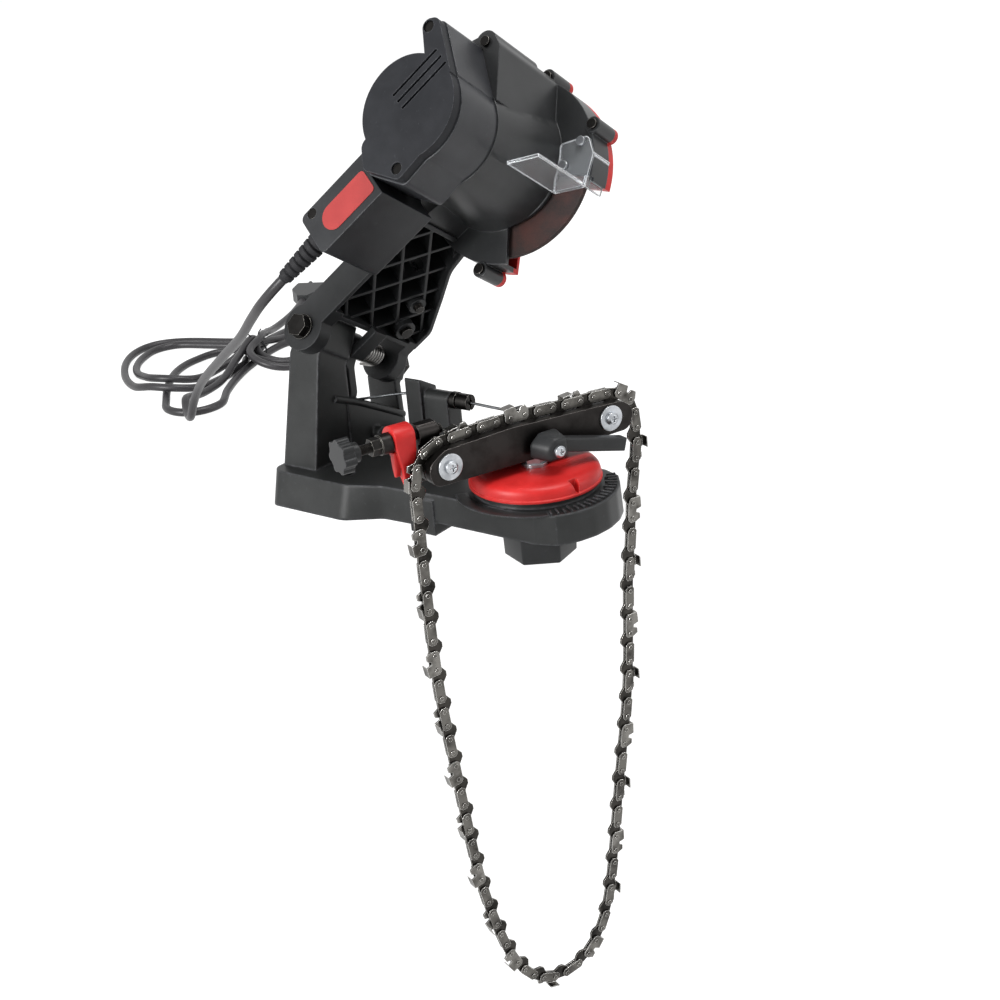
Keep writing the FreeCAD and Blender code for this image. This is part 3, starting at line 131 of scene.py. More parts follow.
def mouldedPlastic(name, recipe):
    # injection moulded in a spark eroded mould: a fine even grain, a soft sheen, corners rubbed paler
    material, tree, place = newMaterial(name)
    rounded, edge = softEdges(tree, recipe["edge"] / 1000)
    flow = addNode(tree, "TexNoise", {"Vector": place, "Scale": 32.0, "Detail": 5.0, "Roughness": 0.62})
    grain = addNode(tree, "TexNoise", {"Vector": place, "Scale": 1000 / recipe["grain"], "Detail": 2.0})
    dust = addNode(tree, "TexNoise", {"Vector": place, "Scale": 260.0, "Detail": 6.0, "Roughness": 0.7})
    base = linear(recipe["colour"])
    pale = [c * 1.35 + 0.004 for c in base[:3]] + [1]
    body = addNode(tree, "ValToRGB", {"Fac": flow.outputs["Fac"]}, stops=((0.38, base), (0.7, pale)))
    specks = addNode(tree, "ValToRGB", {"Fac": dust.outputs["Fac"]},
                     stops=((0.62, grey(0)), (0.78, grey(0.3))))
    dusty = addNode(tree, "Mix", {0: specks.outputs["Color"], 6: body.outputs["Color"],
                                  7: linear(recipe["rub"])}, data_type="RGBA")
    patches = addNode(tree, "ValToRGB", {"Fac": dust.outputs["Fac"]},
                      stops=((0.35, grey(0)), (0.6, grey(0.8))))
    rubbed = addNode(tree, "Math", {0: edge, 1: patches.outputs["Color"]}, operation="MULTIPLY")
    worn = addNode(tree, "Mix", {0: rubbed.outputs[0], 6: dusty.outputs[2], 7: linear(recipe["rub"])},
                   data_type="RGBA")
    rough = addNode(tree, "MapRange", {"Value": flow.outputs["Fac"], "To Min": recipe["gloss"] - 0.07,
                                       "To Max": recipe["gloss"] + 0.1})
    bump = addNode(tree, "Bump", {"Height": grain.outputs["Fac"], "Distance": recipe["deep"] / 1000,
                                  "Strength": 0.9, "Normal": rounded})
    shader = addNode(tree, "BsdfPrincipled", {"Base Color": worn.outputs[2], "Roughness": rough.outputs[0],
                                              "Normal": bump.outputs["Normal"], "IOR": 1.5,
                                              "Specular IOR Level": recipe["shine"]})
    addNode(tree, "OutputMaterial", {"Surface": shader.outputs["BSDF"]})
    return material


# one entry for each metal: colour, stain, edge colour (wear and painted highlight), gloss; grain and thread
# pitch in mm, the thread's turn
metals = {
    "zincPlatedSteel": dict(colour="#b9bcc0", stain="#8d9094", edgeWearAndHighlight="#e4e6e8", gloss=0.3, grain=0.5),
    "blackOxideSteel": dict(colour="#2a2928", stain="#1c1b1a", edgeWearAndHighlight="#8b8883", gloss=0.36, grain=0.5),
    "rolledStopThread": dict(colour="#343230", stain="#22201f", edgeWearAndHighlight="#98958f", gloss=0.34, grain=0.5,
                             pitch=1.0, turn=(0, 0, 21.4)),
    "rolledDepthThread": dict(colour="#343230", stain="#22201f", edgeWearAndHighlight="#98958f", gloss=0.34, grain=0.5,
                              pitch=1.0, turn=(0, 59.5, -50)),
    "blackenedSteelRail": dict(colour="#2f2d2c", stain="#242221", edgeWearAndHighlight="#7d7876", gloss=0.34, grain=0.7),
    "bluedChainSteel": dict(colour="#3b3936", stain="#1c1b1a", edgeWearAndHighlight="#d6d2cc", gloss=0.24, grain=0.4),
    "polishedStrapSteel": dict(colour="#64625e", stain="#33312f", edgeWearAndHighlight="#efede9", gloss=0.22, grain=0.4),
    "chromedCutterSteel": dict(colour="#787672", stain="#3c3a37", edgeWearAndHighlight="#f2f1ee", gloss=0.26, grain=0.4),
    "springSteelWire": dict(colour="#8e8d8b", stain="#45413e", edgeWearAndHighlight="#c9c8c6", gloss=0.3, grain=0.3),
    "galvanisedWireRope": dict(colour="#77797b", stain="#4f5153", edgeWearAndHighlight="#cfd0d1", gloss=0.34, grain=0.3),
    "groundShaftSteel": dict(colour="#8e9094", stain="#63656a", edgeWearAndHighlight="#d5d7da", gloss=0.22, grain=0.3),
}


def finishedMetal(name, recipe):
    # turned, stamped or rolled, then plated or blued: cloudy patches, fine drawing lines, pale edges that are
    # partly wear and partly painted highlight
    material, tree, place = newMaterial(name)
    rounded, edge = softEdges(tree, 0.0004)
    cloud = addNode(tree, "TexNoise", {"Vector": place, "Scale": 90.0, "Detail": 6.0, "Roughness": 0.6})
    grain = addNode(tree, "TexNoise", {"Vector": place, "Scale": 1000 / recipe["grain"], "Detail": 3.0})
    lines = addNode(tree, "Mapping", {"Vector": place, "Scale": (1, 1, 24)})
    drawn = addNode(tree, "TexNoise", {"Vector": lines.outputs[0], "Scale": 160.0, "Detail": 3.0})
    body = addNode(tree, "ValToRGB", {"Fac": cloud.outputs["Fac"]},
                   stops=((0.4, linear(recipe["colour"])), (0.68, linear(recipe["stain"]))))
    # edges mixed towards a pale colour: partly wear, partly painted highlight
    worn = addNode(tree, "Mix", {0: edge, 6: body.outputs["Color"], 7: linear(recipe["edgeWearAndHighlight"])},
                   data_type="RGBA")
    rough = addNode(tree, "MapRange", {"Value": cloud.outputs["Fac"], "To Min": recipe["gloss"] - 0.08,
                                       "To Max": recipe["gloss"] + 0.14})
    height = addNode(tree, "Math", {0: grain.outputs["Fac"], 1: drawn.outputs["Fac"]}, operation="ADD")
    bump = addNode(tree, "Bump", {"Height": height.outputs[0], "Distance": 0.00001, "Strength": 0.6,
                                  "Normal": rounded})
    if "pitch" in recipe:  # the rolled thread, ridges across the rod
        along = addNode(tree, "Mapping", {"Vector": place, "Rotation": [radians(t) for t in recipe["turn"]]})
        ridges = addNode(tree, "TexWave", {"Vector": along.outputs[0], "Scale": 100 * pi / recipe["pitch"]})
        bump = addNode(tree, "Bump", {"Height": ridges.outputs["Fac"], "Distance": 0.0004,
                                      "Normal": bump.outputs["Normal"]})
    shader = addNode(tree, "BsdfPrincipled", {"Base Color": worn.outputs[2], "Metallic": 1.0,
                                              "Roughness": rough.outputs[0],
                                              "Normal": bump.outputs["Normal"]})
    addNode(tree, "OutputMaterial", {"Surface": shader.outputs["BSDF"]})
    return material


paints = {name: mouldedPlastic(name, recipe) for name, recipe in plastics.items()}
paints.update({name: finishedMetal(name, recipe) for name, recipe in metals.items()})

# the wheel: size of its grit in mm, its colours
abrasive = {"grit": 0.4, "colour": "#25120e", "paleGrit": "#4c2118", "darkGrit": "#0f0908"}


def vitrifiedAlumina():
    # pressed grit in a fired bond: matt, speckled, every grain a little higher or lower
    material, tree, place = newMaterial("vitrifiedAluminaWheel")
    grit = addNode(tree, "TexVoronoi", {"Vector": place, "Scale": 1000 / abrasive["grit"]})
    dust = addNode(tree, "TexNoise", {"Vector": place, "Scale": 60.0, "Detail": 4.0})
    tone = addNode(tree, "ValToRGB", {"Fac": grit.outputs["Color"]},
                   stops=((0.2, linear(abrasive["darkGrit"])), (0.85, linear(abrasive["colour"]))))
    patches = addNode(tree, "ValToRGB", {"Fac": dust.outputs["Fac"]},
                      stops=((0.45, grey(0)), (0.8, grey(0.5))))
    pale = addNode(tree, "Mix", {0: patches.outputs["Color"], 6: tone.outputs["Color"],
                                 7: linear(abrasive["paleGrit"])}, data_type="RGBA")
    bump = addNode(tree, "Bump", {"Height": grit.outputs["Distance"], "Distance": 0.00012, "Strength": 0.8})
    shader = addNode(tree, "BsdfPrincipled", {"Base Color": pale.outputs[2], "Roughness": 0.88,
                                              "Normal": bump.outputs["Normal"]})
    addNode(tree, "OutputMaterial", {"Surface": shader.outputs["BSDF"]})
    return material


def clearPolycarbonate():
    # extruded sheet, cut and polished: clear with hairline scratches, its edges opaque and pale as painted
    # highlight
    material, tree, place = newMaterial("clearPolycarbonate")
    rounded, edge = softEdges(tree, 0.0011)
    across = addNode(tree, "Mapping", {"Vector": place, "Rotation": (0.4, 0.8, 0.3), "Scale": (1, 30, 1)})
    hair = addNode(tree, "TexNoise", {"Vector": across.outputs[0], "Scale": 40.0, "Detail": 4.0})
    rough = addNode(tree, "MapRange", {"Value": hair.outputs["Fac"], "To Min": 0.02, "To Max": 0.09})
    glass = addNode(tree, "BsdfPrincipled", {"Base Color": (0.95, 0.96, 0.97, 1), "IOR": 1.45,
                                             "Roughness": rough.outputs[0], "Transmission Weight": 1.0,
                                             "Normal": rounded})
    # opaque pale finish mixed in at the edges as painted highlight, and a little over the whole sheet
    cut = addNode(tree, "BsdfPrincipled", {"Base Color": (0.8, 0.82, 0.84, 1), "Roughness": rough.outputs[0],
                                           "Normal": rounded})
    share = addNode(tree, "Math", {0: edge, 1: 0.05}, operation="ADD", use_clamp=True)
    edged = addNode(tree, "MixShader", {0: share.outputs[0], 1: glass.outputs["BSDF"],
                                        2: cut.outputs["BSDF"]})
    through = addNode(tree, "BsdfTransparent", {"Color": (0.86, 0.88, 0.9, 1)})
    path = addNode(tree, "LightPath", {})
    mixed = addNode(tree, "MixShader", {0: path.outputs["Is Shadow Ray"], 1: edged.outputs[0],
                                        2: through.outputs["BSDF"]})
    addNode(tree, "OutputMaterial", {"Surface": mixed.outputs[0]})
    return material


def vinylLabel():
    # self adhesive vinyl with a gloss film: even colour, a slight orange peel
    material, tree, place = newMaterial("glossVinylRed")
    peel = addNode(tree, "TexNoise", {"Vector": place, "Scale": 500.0, "Detail": 2.0})
    fade = addNode(tree, "TexNoise", {"Vector": place, "Scale": 45.0, "Detail": 3.0})
    tone = addNode(tree, "ValToRGB", {"Fac": fade.outputs["Fac"]},
                   stops=((0.35, linear("#8f2625")), (0.7, linear("#9c2f2d"))))
    bump = addNode(tree, "Bump", {"Height": peel.outputs["Fac"], "Distance": 0.00002, "Strength": 0.5})
    shader = addNode(tree, "BsdfPrincipled", {"Base Color": tone.outputs["Color"], "Roughness": 0.34,
                                              "Coat Weight": 0.2, "Normal": bump.outputs["Normal"]})
    addNode(tree, "OutputMaterial", {"Surface": shader.outputs["BSDF"]})
    return material


def layered(name, first, second, pitch, metallic, gloss):
    # stacked steel sheets, wound copper or pressed carbon: fine even lines along the motor
    material, tree, place = newMaterial(name)
    stack = addNode(tree, "Mapping", {"Vector": place, "Rotation": (0, radians(-30.5), 0)})
    bands = addNode(tree, "TexWave", {"Vector": stack.outputs[0], "Scale": 0.1 * pi / pitch,
                                      "Distortion": 0.6})
    tone = addNode(tree, "ValToRGB", {"Fac": bands.outputs["Fac"]},
                   stops=((0.3, linear(first)), (0.7, linear(second))))
    bump = addNode(tree, "Bump", {"Height": bands.outputs["Fac"], "Distance": 0.00008})
    shader = addNode(tree, "BsdfPrincipled", {"Base Color": tone.outputs["Color"], "Metallic": metallic,
                                              "Roughness": gloss, "Normal": bump.outputs["Normal"]})
    addNode(tree, "OutputMaterial", {"Surface": shader.outputs["BSDF"]})
    return material


paints["vitrifiedAluminaWheel"] = vitrifiedAlumina()
paints["clearPolycarbonate"] = clearPolycarbonate()
paints["glossVinylRed"] = vinylLabel()
paints["laminatedSteelCore"] = layered("laminatedSteelCore", first="#55504c", second="#8a4b2c",
                                       pitch=0.001, metallic=0.9, gloss=0.42)
paints["pressedCarbonBrush"] = layered("pressedCarbonBrush", first="#1c1c1d", second="#2a2a2b",
                                       pitch=0.0008, metallic=0.0, gloss=0.6)
print("stage: materials made,", len(paints))

finishes = {
    "glassFilledNylonCharcoal": ["base_casting"],
    "glassFilledNylonBlack": ["arm_casting", "cable_lever", "vise_block", "clamp_lever", "power_rocker",
                              "switch_module", "mains_plug"],
    "absMotorHousingGrey": ["motor_housing"],
    # the cap: the housing's ABS, with painted shade in its darker colour
    "absMotorCapGrey": ["motor_cap"],
    "absGuardGrey": ["guard_housing"],
    "absSwitchBoxBlack": ["switch_box"],
    "nylonSignalRed": ["vise_turntable", "stop_pawl", "guard_cover"],
    "phenolicKnobBlack": ["swivel_knob", "stop_knob", "depth_knob"],
    "rubberStrainRelief": ["strain_relief"],
    "zincPlatedSteel": ["swivel_bolt", "swivel_washer", "rail_screws", "rail_washers", "clamp_screw",
                        "wheel_flanges", "wheel_nut"],
    "blackOxideSteel": ["pivot_bolt", "pivot_washers", "pivot_nut", "adjuster_nut", "cable_adjuster",
                        "housing_screws", "guard_screws", "spring_screw", "stop_nut", "rocker_nut",
                        "clamp_rocker"],
    "rolledStopThread": ["stop_rod"],
    "rolledDepthThread": ["depth_rod"],
    "blackenedSteelRail": ["front_rail", "rear_rail", "stop_bracket"],
    "bluedChainSteel": ["chain_drive_links"],
    "polishedStrapSteel": ["chain_tie_straps", "chain_rivets"],
    "chromedCutterSteel": ["chain_cutters"],
    "groundShaftSteel": ["motor_shaft", "motor_bearings"],
    "vitrifiedAluminaWheel": ["grinding_wheel"],
    "clearPolycarbonate": ["shield"],
    "glossVinylRed": ["label_plate"],
    "laminatedSteelCore": ["motor_stator", "motor_rotor"],
    "pressedCarbonBrush": ["motor_brushes"],
    "absMotorFan": ["motor_fan"],
}
paints["absMotorFan"] = paints["glassFilledNylonBlack"]


def deselectAll():
    if bpy.context.object and bpy.context.object.mode != "OBJECT":
        bpy.ops.object.mode_set(mode="OBJECT")
    bpy.ops.object.select_all(action="DESELECT")


def makeActive(thing):
    deselectAll()
    thing.select_set(True)
    bpy.context.view_layer.objects.active = thing


# curved faces read as curved, real corners stay crisp; the solid's own points aren't touched
def smoothSolid(solid, angle=32):
    makeActive(solid)
    if solid.data.has_custom_normals:
        bpy.ops.mesh.customdata_custom_splitnormals_clear()
    solid.data.polygons.foreach_set("use_smooth", [True] * len(solid.data.polygons))
    weld = solid.modifiers.new("weld", "WELD")
    weld.merge_threshold = 0.000002
    split = solid.modifiers.new("corners", "EDGE_SPLIT")
    split.split_angle = radians(angle)
    even = solid.modifiers.new("flats", "WEIGHTED_NORMAL")
    even.keep_sharp = True


for finish, names in finishes.items():
    for name in names:
        solids[name].data.materials.clear()
        solids[name].data.materials.append(paints[finish])
        smoothSolid(solids[name])

# the tab screws are blackened, the two that hold the shield are plated
guardScrews = solids["guard_screws"]
guardScrews.data.materials.append(paints["zincPlatedSteel"])
shieldScrews = [headPoint(-7.5, 202.4, -21.9), headPoint(-7.5, 185.0, -25.6)]
screwReach = 0.008  # farther than this from both, a face belongs to a tab screw
for face in guardScrews.data.polygons:
    middle = guardScrews.matrix_world @ face.center
    face.material_index = int(min((middle - at).length for at in shieldScrews) < screwReach)
print("stage: solids finished")


def giveFinish(piece, finish):
    piece.data.materials.clear()
    piece.data.materials.append(paints[finish])


# a smooth line through space, its points in metres
def softLine(name, points):
    curve = bpy.data.curves.new(name, "CURVE")
    curve.dimensions = "3D"
    spline = curve.splines.new("NURBS")
    spline.points.add(len(points) - 1)
    for knot, point in zip(spline.points, points):
        knot.co = (*point, 1)
    spline.order_u = 3
    spline.use_endpoint_u = True
    curve.resolution_u = 4
    line = bpy.data.objects.new(name, curve)
    bpy.context.collection.objects.link(line)
    return line


# the line as a round closed tube, and the points the line runs through
def lineToTube(line, radius, sides=3):
    bpy.context.view_layer.update()
    trace = bpy.data.meshes.new_from_object(line.evaluated_get(bpy.context.evaluated_depsgraph_get()))
    path = [tuple(v.co) for v in trace.vertices]
    bpy.data.meshes.remove(trace)
    line.data.bevel_depth = radius
    line.data.bevel_resolution = sides
    line.data.use_fill_caps = True
    makeActive(line)
    bpy.ops.object.convert(target="MESH")
    tube = bpy.context.object
    bpy.ops.object.mode_set(mode="EDIT")
    bpy.ops.mesh.select_all(action="SELECT")
    bpy.ops.mesh.remove_doubles(threshold=0.00001)
    bpy.ops.mesh.normals_make_consistent(inside=False)
    bpy.ops.object.mode_set(mode="OBJECT")
    bpy.ops.object.shade_smooth_by_angle(angle=radians(40))
    return tube, path


# the mains lead: out of the relief, down over the arm to the bench, seven strands through the tie; its
# points were fitted by a program to a drawn route, with the strands moved clear of each other;
# "relief" is the end of the strain relief and "straight" the run out of it, in mm in the head's axes
lead = {"thick": 0.0062, "long": 2.54, "straight": 17, "relief": (-98, 28.5, -5.5), "points": [
    (-0.0639, 0.0055, 0.1557), (-0.0662, 0.0092, 0.1519), (-0.0679, 0.0184, 0.1435),
    (-0.0656, 0.0277, 0.1363), (-0.0612, 0.0367, 0.1298), (-0.0567, 0.0459, 0.1232),
    (-0.0518, 0.0548, 0.1167), (-0.0469, 0.0637, 0.1105), (-0.0419, 0.0729, 0.1046),
    (-0.0368, 0.0825, 0.0989), (-0.0319, 0.0919, 0.0935), (-0.027, 0.1013, 0.0882),
    (-0.0219, 0.111, 0.0826), (-0.017, 0.1204, 0.0771), (-0.0121, 0.1298, 0.0716), (-0.0071, 0.1394, 0.066),
    (-0.0021, 0.1488, 0.0604), (0.0029, 0.1581, 0.0548), (0.0081, 0.1676, 0.049), (0.013, 0.1767, 0.043),
    (0.0173, 0.1853, 0.036), (0.0211, 0.1938, 0.028), (0.0238, 0.201, 0.0188), (0.0264, 0.207, 0.0094),
    (0.0334, 0.2174, 0.0049), (0.0401, 0.2269, 0.0073), (0.0475, 0.2349, 0.0125), (0.0573, 0.2421, 0.0101),
    (0.0684, 0.2466, 0.0068), (0.0795, 0.2497, 0.0049), (0.0917, 0.2524, 0.0047), (0.1033, 0.255, 0.0052),
    (0.1146, 0.2583, 0.0074), (0.1256, 0.2628, 0.0104), (0.1364, 0.2677, 0.0129), (0.1473, 0.273, 0.0139),
    (0.1579, 0.2771, 0.0179), (0.1694, 0.2816, 0.0196), (0.1789, 0.2885, 0.016), (0.1878, 0.2951, 0.0117),
    (0.1956, 0.3041, 0.0078), (0.1974, 0.3159, 0.0047), (0.1952, 0.3275, 0.0037), (0.1917, 0.3393, 0.0034),
    (0.1882, 0.3508, 0.0034), (0.1845, 0.3622, 0.0034), (0.1797, 0.3735, 0.0034), (0.1732, 0.3836, 0.0034),
    (0.1641, 0.3914, 0.0034), (0.1517, 0.394, 0.0034), (0.14, 0.3915, 0.0034), (0.1291, 0.3867, 0.0034),
    (0.1188, 0.38, 0.0034), (0.1095, 0.3723, 0.0034), (0.101, 0.364, 0.0034), (0.093, 0.355, 0.0034),
    (0.0853, 0.3454, 0.0034), (0.0787, 0.3357, 0.0037), (0.0725, 0.3249, 0.0042), (0.0676, 0.3141, 0.005),
    (0.0641, 0.303, 0.0075), (0.0636, 0.2909, 0.01), (0.0653, 0.2789, 0.0102), (0.0718, 0.2686, 0.009),
    (0.0824, 0.2631, 0.0063), (0.0945, 0.2625, 0.0039), (0.1063, 0.2642, 0.0036), (0.1181, 0.2656, 0.0034),
    (0.1303, 0.2679, 0.0034), (0.1413, 0.2721, 0.0034), (0.1531, 0.275, 0.0035), (0.1621, 0.2838, 0.0032),
    (0.1734, 0.2878, 0.0032), (0.184, 0.2932, 0.0033), (0.1901, 0.304, 0.0034), (0.1907, 0.3164, 0.0034),
    (0.1847, 0.3268, 0.0034), (0.1811, 0.3387, 0.0034), (0.1774, 0.3499, 0.0034), (0.1741, 0.3615, 0.0034),
    (0.169, 0.3723, 0.0034), (0.158, 0.3789, 0.0034), (0.146, 0.3794, 0.0034), (0.1347, 0.3748, 0.0034),
    (0.1238, 0.3694, 0.0034), (0.1141, 0.3625, 0.0034), (0.105, 0.3542, 0.0036), (0.0976, 0.3448, 0.0039),
    (0.0913, 0.3347, 0.005), (0.0869, 0.3233, 0.0065), (0.0817, 0.3126, 0.0085), (0.0807, 0.3006, 0.0101),
    (0.086, 0.2895, 0.0095), (0.0955, 0.2818, 0.0068), (0.1075, 0.2807, 0.0046), (0.1195, 0.2822, 0.0042),
    (0.1321, 0.2829, 0.0051), (0.1437, 0.2814, 0.0076), (0.1558, 0.2801, 0.0121), (0.1677, 0.2835, 0.0132),
    (0.1763, 0.2907, 0.0102), (0.1796, 0.2985, 0.0072), (0.1781, 0.3087, 0.0044), (0.1713, 0.3187, 0.0032),
    (0.1598, 0.3238, 0.0033), (0.1466, 0.3238, 0.0033), (0.1342, 0.3229, 0.0034), (0.1223, 0.3193, 0.0034),
    (0.1108, 0.3138, 0.0034), (0.1004, 0.3071, 0.0034), (0.0907, 0.2996, 0.0033), (0.0811, 0.2914, 0.0032),
    (0.0719, 0.2828, 0.0034), (0.0631, 0.2739, 0.0034), (0.0545, 0.2649, 0.0034), (0.0448, 0.2556, 0.0033),
    (0.0409, 0.2437, 0.0033), (0.0431, 0.2327, 0.0032), (0.0497, 0.2244, 0.0033), (0.0592, 0.2201, 0.0034),
    (0.0713, 0.2204, 0.0034), (0.0818, 0.2282, 0.0034), (0.0914, 0.2364, 0.0034), (0.102, 0.2431, 0.0034),
    (0.113, 0.2497, 0.0034), (0.124, 0.2554, 0.0034), (0.1351, 0.2607, 0.0035), (0.1468, 0.2659, 0.0034),
    (0.1581, 0.2702, 0.0032), (0.1699, 0.2746, 0.0033), (0.1818, 0.2786, 0.0033), (0.1938, 0.2811, 0.0034),
    (0.2067, 0.2829, 0.0034), (0.2187, 0.2807, 0.0034), (0.228, 0.272, 0.0034), (0.2313, 0.2615, 0.0034),
    (0.229, 0.2513, 0.0034), (0.2216, 0.2423, 0.0034), (0.2091, 0.2385, 0.0033), (0.195, 0.241, 0.0034),
    (0.181, 0.2414, 0.0032), (0.1684, 0.2472, 0.0036), (0.1633, 0.2565, 0.0063), (0.1618, 0.2641, 0.0094),
    (0.1661, 0.2733, 0.0122), (0.175, 0.2819, 0.0134), (0.1876, 0.2837, 0.0117), (0.1994, 0.286, 0.0091),
    (0.2113, 0.2893, 0.0064), (0.2234, 0.291, 0.0045), (0.2355, 0.2906, 0.0037), (0.2476, 0.2871, 0.0034),
    (0.2567, 0.2791, 0.0034), (0.2608, 0.2673, 0.0034), (0.2588, 0.2554, 0.0034), (0.2512, 0.2453, 0.0034),
    (0.2419, 0.2381, 0.0034), (0.2306, 0.2327, 0.0034), (0.2189, 0.2296, 0.0034), (0.2068, 0.2286, 0.0034),
    (0.1946, 0.2295, 0.0035), (0.1825, 0.2326, 0.0039), (0.1707, 0.2352, 0.0045), (0.1596, 0.2411, 0.0062),
    (0.1537, 0.2511, 0.0082), (0.1529, 0.2622, 0.0098), (0.1569, 0.272, 0.01), (0.165, 0.2797, 0.0074),
    (0.1776, 0.2829, 0.0062), (0.1882, 0.289, 0.0066), (0.1999, 0.2931, 0.0078), (0.2109, 0.2977, 0.0063),
    (0.222, 0.3023, 0.0048), (0.2339, 0.3055, 0.0038), (0.2459, 0.3067, 0.0035), (0.2578, 0.3055, 0.0034),
    (0.2695, 0.3017, 0.0034), (0.2793, 0.2945, 0.0034), (0.2853, 0.284, 0.0034), (0.2869, 0.2719, 0.0034),
    (0.2847, 0.2598, 0.0034), (0.2794, 0.249, 0.0034), (0.2722, 0.2395, 0.0034), (0.2629, 0.2312, 0.0034),
    (0.2529, 0.2251, 0.0034), (0.2415, 0.2204, 0.0034), (0.23, 0.217, 0.0034), (0.2182, 0.2149, 0.0034),
    (0.2061, 0.214, 0.0034), (0.1939, 0.2147, 0.0035), (0.1822, 0.2169, 0.0035), (0.1708, 0.2205, 0.004),
    (0.1598, 0.226, 0.005), (0.1497, 0.2323, 0.0065), (0.1434, 0.2423, 0.0096), (0.1433, 0.2542, 0.0133),
    (0.1489, 0.2649, 0.0159), (0.1592, 0.271, 0.0175), (0.1707, 0.2741, 0.0191), (0.1814, 0.2805, 0.0192),
    (0.1903, 0.2879, 0.0171), (0.2, 0.295, 0.0138), (0.2094, 0.3021, 0.0118), (0.2186, 0.309, 0.0087),
    (0.2284, 0.316, 0.006), (0.2389, 0.3216, 0.0044), (0.2499, 0.3262, 0.0039), (0.2612, 0.3308, 0.0038),
    (0.2724, 0.3354, 0.0039), (0.2834, 0.3402, 0.0043), (0.2941, 0.3454, 0.0049), (0.3052, 0.351, 0.0056),
    (0.3103, 0.3537, 0.006),
]}
mainsLead, leadPath = lineToTube(softLine("mains_lead", lead["points"]), lead["thick"] / 2, 4)
giveFinish(mainsLead, "pvcMainsSheath")
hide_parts("mains_cord", "cord_hank")
across, forward, up = lead["relief"]
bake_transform(mainsLead)

# the wire tie round the bundle: two turns, a flat underneath, and two twisted ends that stand up
tie = {"wire": 0.0011, "middle": (0.171, 0.280, 0.0093), "heading": 24, "across": 0.0102, "high": 0.0094,
       "flat": -0.0086, "wide": 0.0024, "steps": 26, "stepsPerTurn": 12,
       "firstEnd": [(-0.0065, 0.003, 0.0165), (-0.003, 0.0012, 0.0128)],
       "lastEnd": [(0.0028, -0.0012, 0.0125), (0.0075, -0.0045, 0.0158)]}


def tiePoint(along, across, up):
    turn = radians(tie["heading"])
    x, y, z = tie["middle"]
    return (x + along * cos(turn) - across * sin(turn), y + along * sin(turn) + across * cos(turn), z + up)


tiePoints = [tiePoint(*place) for place in tie["firstEnd"]]
for i in range(tie["steps"] + 1):
    turn = 2 * pi * i / tie["stepsPerTurn"] + pi / 2
    along = -tie["wide"] / 2 + tie["wide"] * i / tie["steps"]
    tiePoints.append(tiePoint(along, tie["across"] * cos(turn), max(tie["high"] * sin(turn), tie["flat"])))
tiePoints += [tiePoint(*place) for place in tie["lastEnd"]]
wireTie = lineToTube(softLine("lead_tie", tiePoints), tie["wire"] / 2, 2)[0]
giveFinish(wireTie, "rubberStrainRelief")
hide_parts("cord_tie")
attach(wireTie, "base")
print("stage: lead laid,", len(leadPath))

# the clamp cable in its two moving stretches, each with the places where its swing starts and ends
cable = {"thick": 0.0018,
         "head": [(0.0095, 0.0256, 0.0536), (0.0104, 0.0196, 0.0549), (0.0118, 0.0122, 0.0564),
                  (0.0140, 0.0, 0.0590), (0.0163, -0.0120, 0.0612), (0.0170, -0.0210, 0.0615),
                  (0.0170, -0.0330, 0.0615)],
         "headSwing": ((0.0163, -0.010, 0.0612), (0.0095, 0.0256, 0.0536)),
         "vise": [(0.0170, -0.0330, 0.0615), (0.0170, -0.0600, 0.0614), (0.0167, -0.0680, 0.0614),
                  (0.0157, -0.0810, 0.0613), (0.01445, -0.1013, 0.0614)],
         "viseSwing": ((0.0170, -0.062, 0.0614), (0.01445, -0.1013, 0.0614))}
for part, bodies in (("head", ("base", "head")), ("vise", ("base", "vise"))):
    rope = lineToTube(softLine("clamp_cable_" + part, cable[part]), cable["thick"] / 2, 3)[0]
    giveFinish(rope, "galvanisedWireRope")
    if part == "head":
        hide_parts("clamp_cable")
    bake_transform(rope)
print("stage: clamp cable strung")

# the return spring: open coils round the pivot bolt, a leg at each end
coil = {"wire": 0.0019, "radius": 0.0068, "turns": 8, "stepsPerTurn": 12, "from": 0.0100, "to": 0.0300,
        "firstLeg": 0.0120, "lastLeg": 0.0125}
coilPoints = [yokeFrame @ Vector((coil["from"], coil["firstLeg"], -coil["radius"]))]
steps = coil["turns"] * coil["stepsPerTurn"]
for i in range(steps + 1):
    turn = 2 * pi * i / coil["stepsPerTurn"]
    along = coil["from"] + (coil["to"] - coil["from"]) * i / steps
    coilPoints.append(yokeFrame @ Vector((along, -coil["radius"] * sin(turn), -coil["radius"] * cos(turn))))
coilPoints.append(yokeFrame @ Vector((coil["to"], coil["lastLeg"], -coil["radius"])))
coilSpring = lineToTube(softLine("coil_spring", coilPoints), coil["wire"] / 2, 3)[0]
giveFinish(coilSpring, "springSteelWire")
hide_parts("return_spring")
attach(coilSpring, "base")
print("stage: return spring wound")


# a closed loop of points in metres as one face, in edit mode and selected
def openOutline(name, points):
    deselectAll()
    mesh = bpy.data.meshes.new(name)
    mesh.from_pydata(points, [], [range(len(points))])
    piece = bpy.data.objects.new(name, mesh)
    bpy.context.collection.objects.link(piece)
    makeActive(piece)
    bpy.ops.object.mode_set(mode="EDIT")
    bpy.ops.mesh.select_all(action="SELECT")
    return piece


# the selected face drawn out into a solid
def drawOut(x, y, z):
    bpy.ops.mesh.extrude_region_move(TRANSFORM_OT_translate={"value": (x, y, z)})


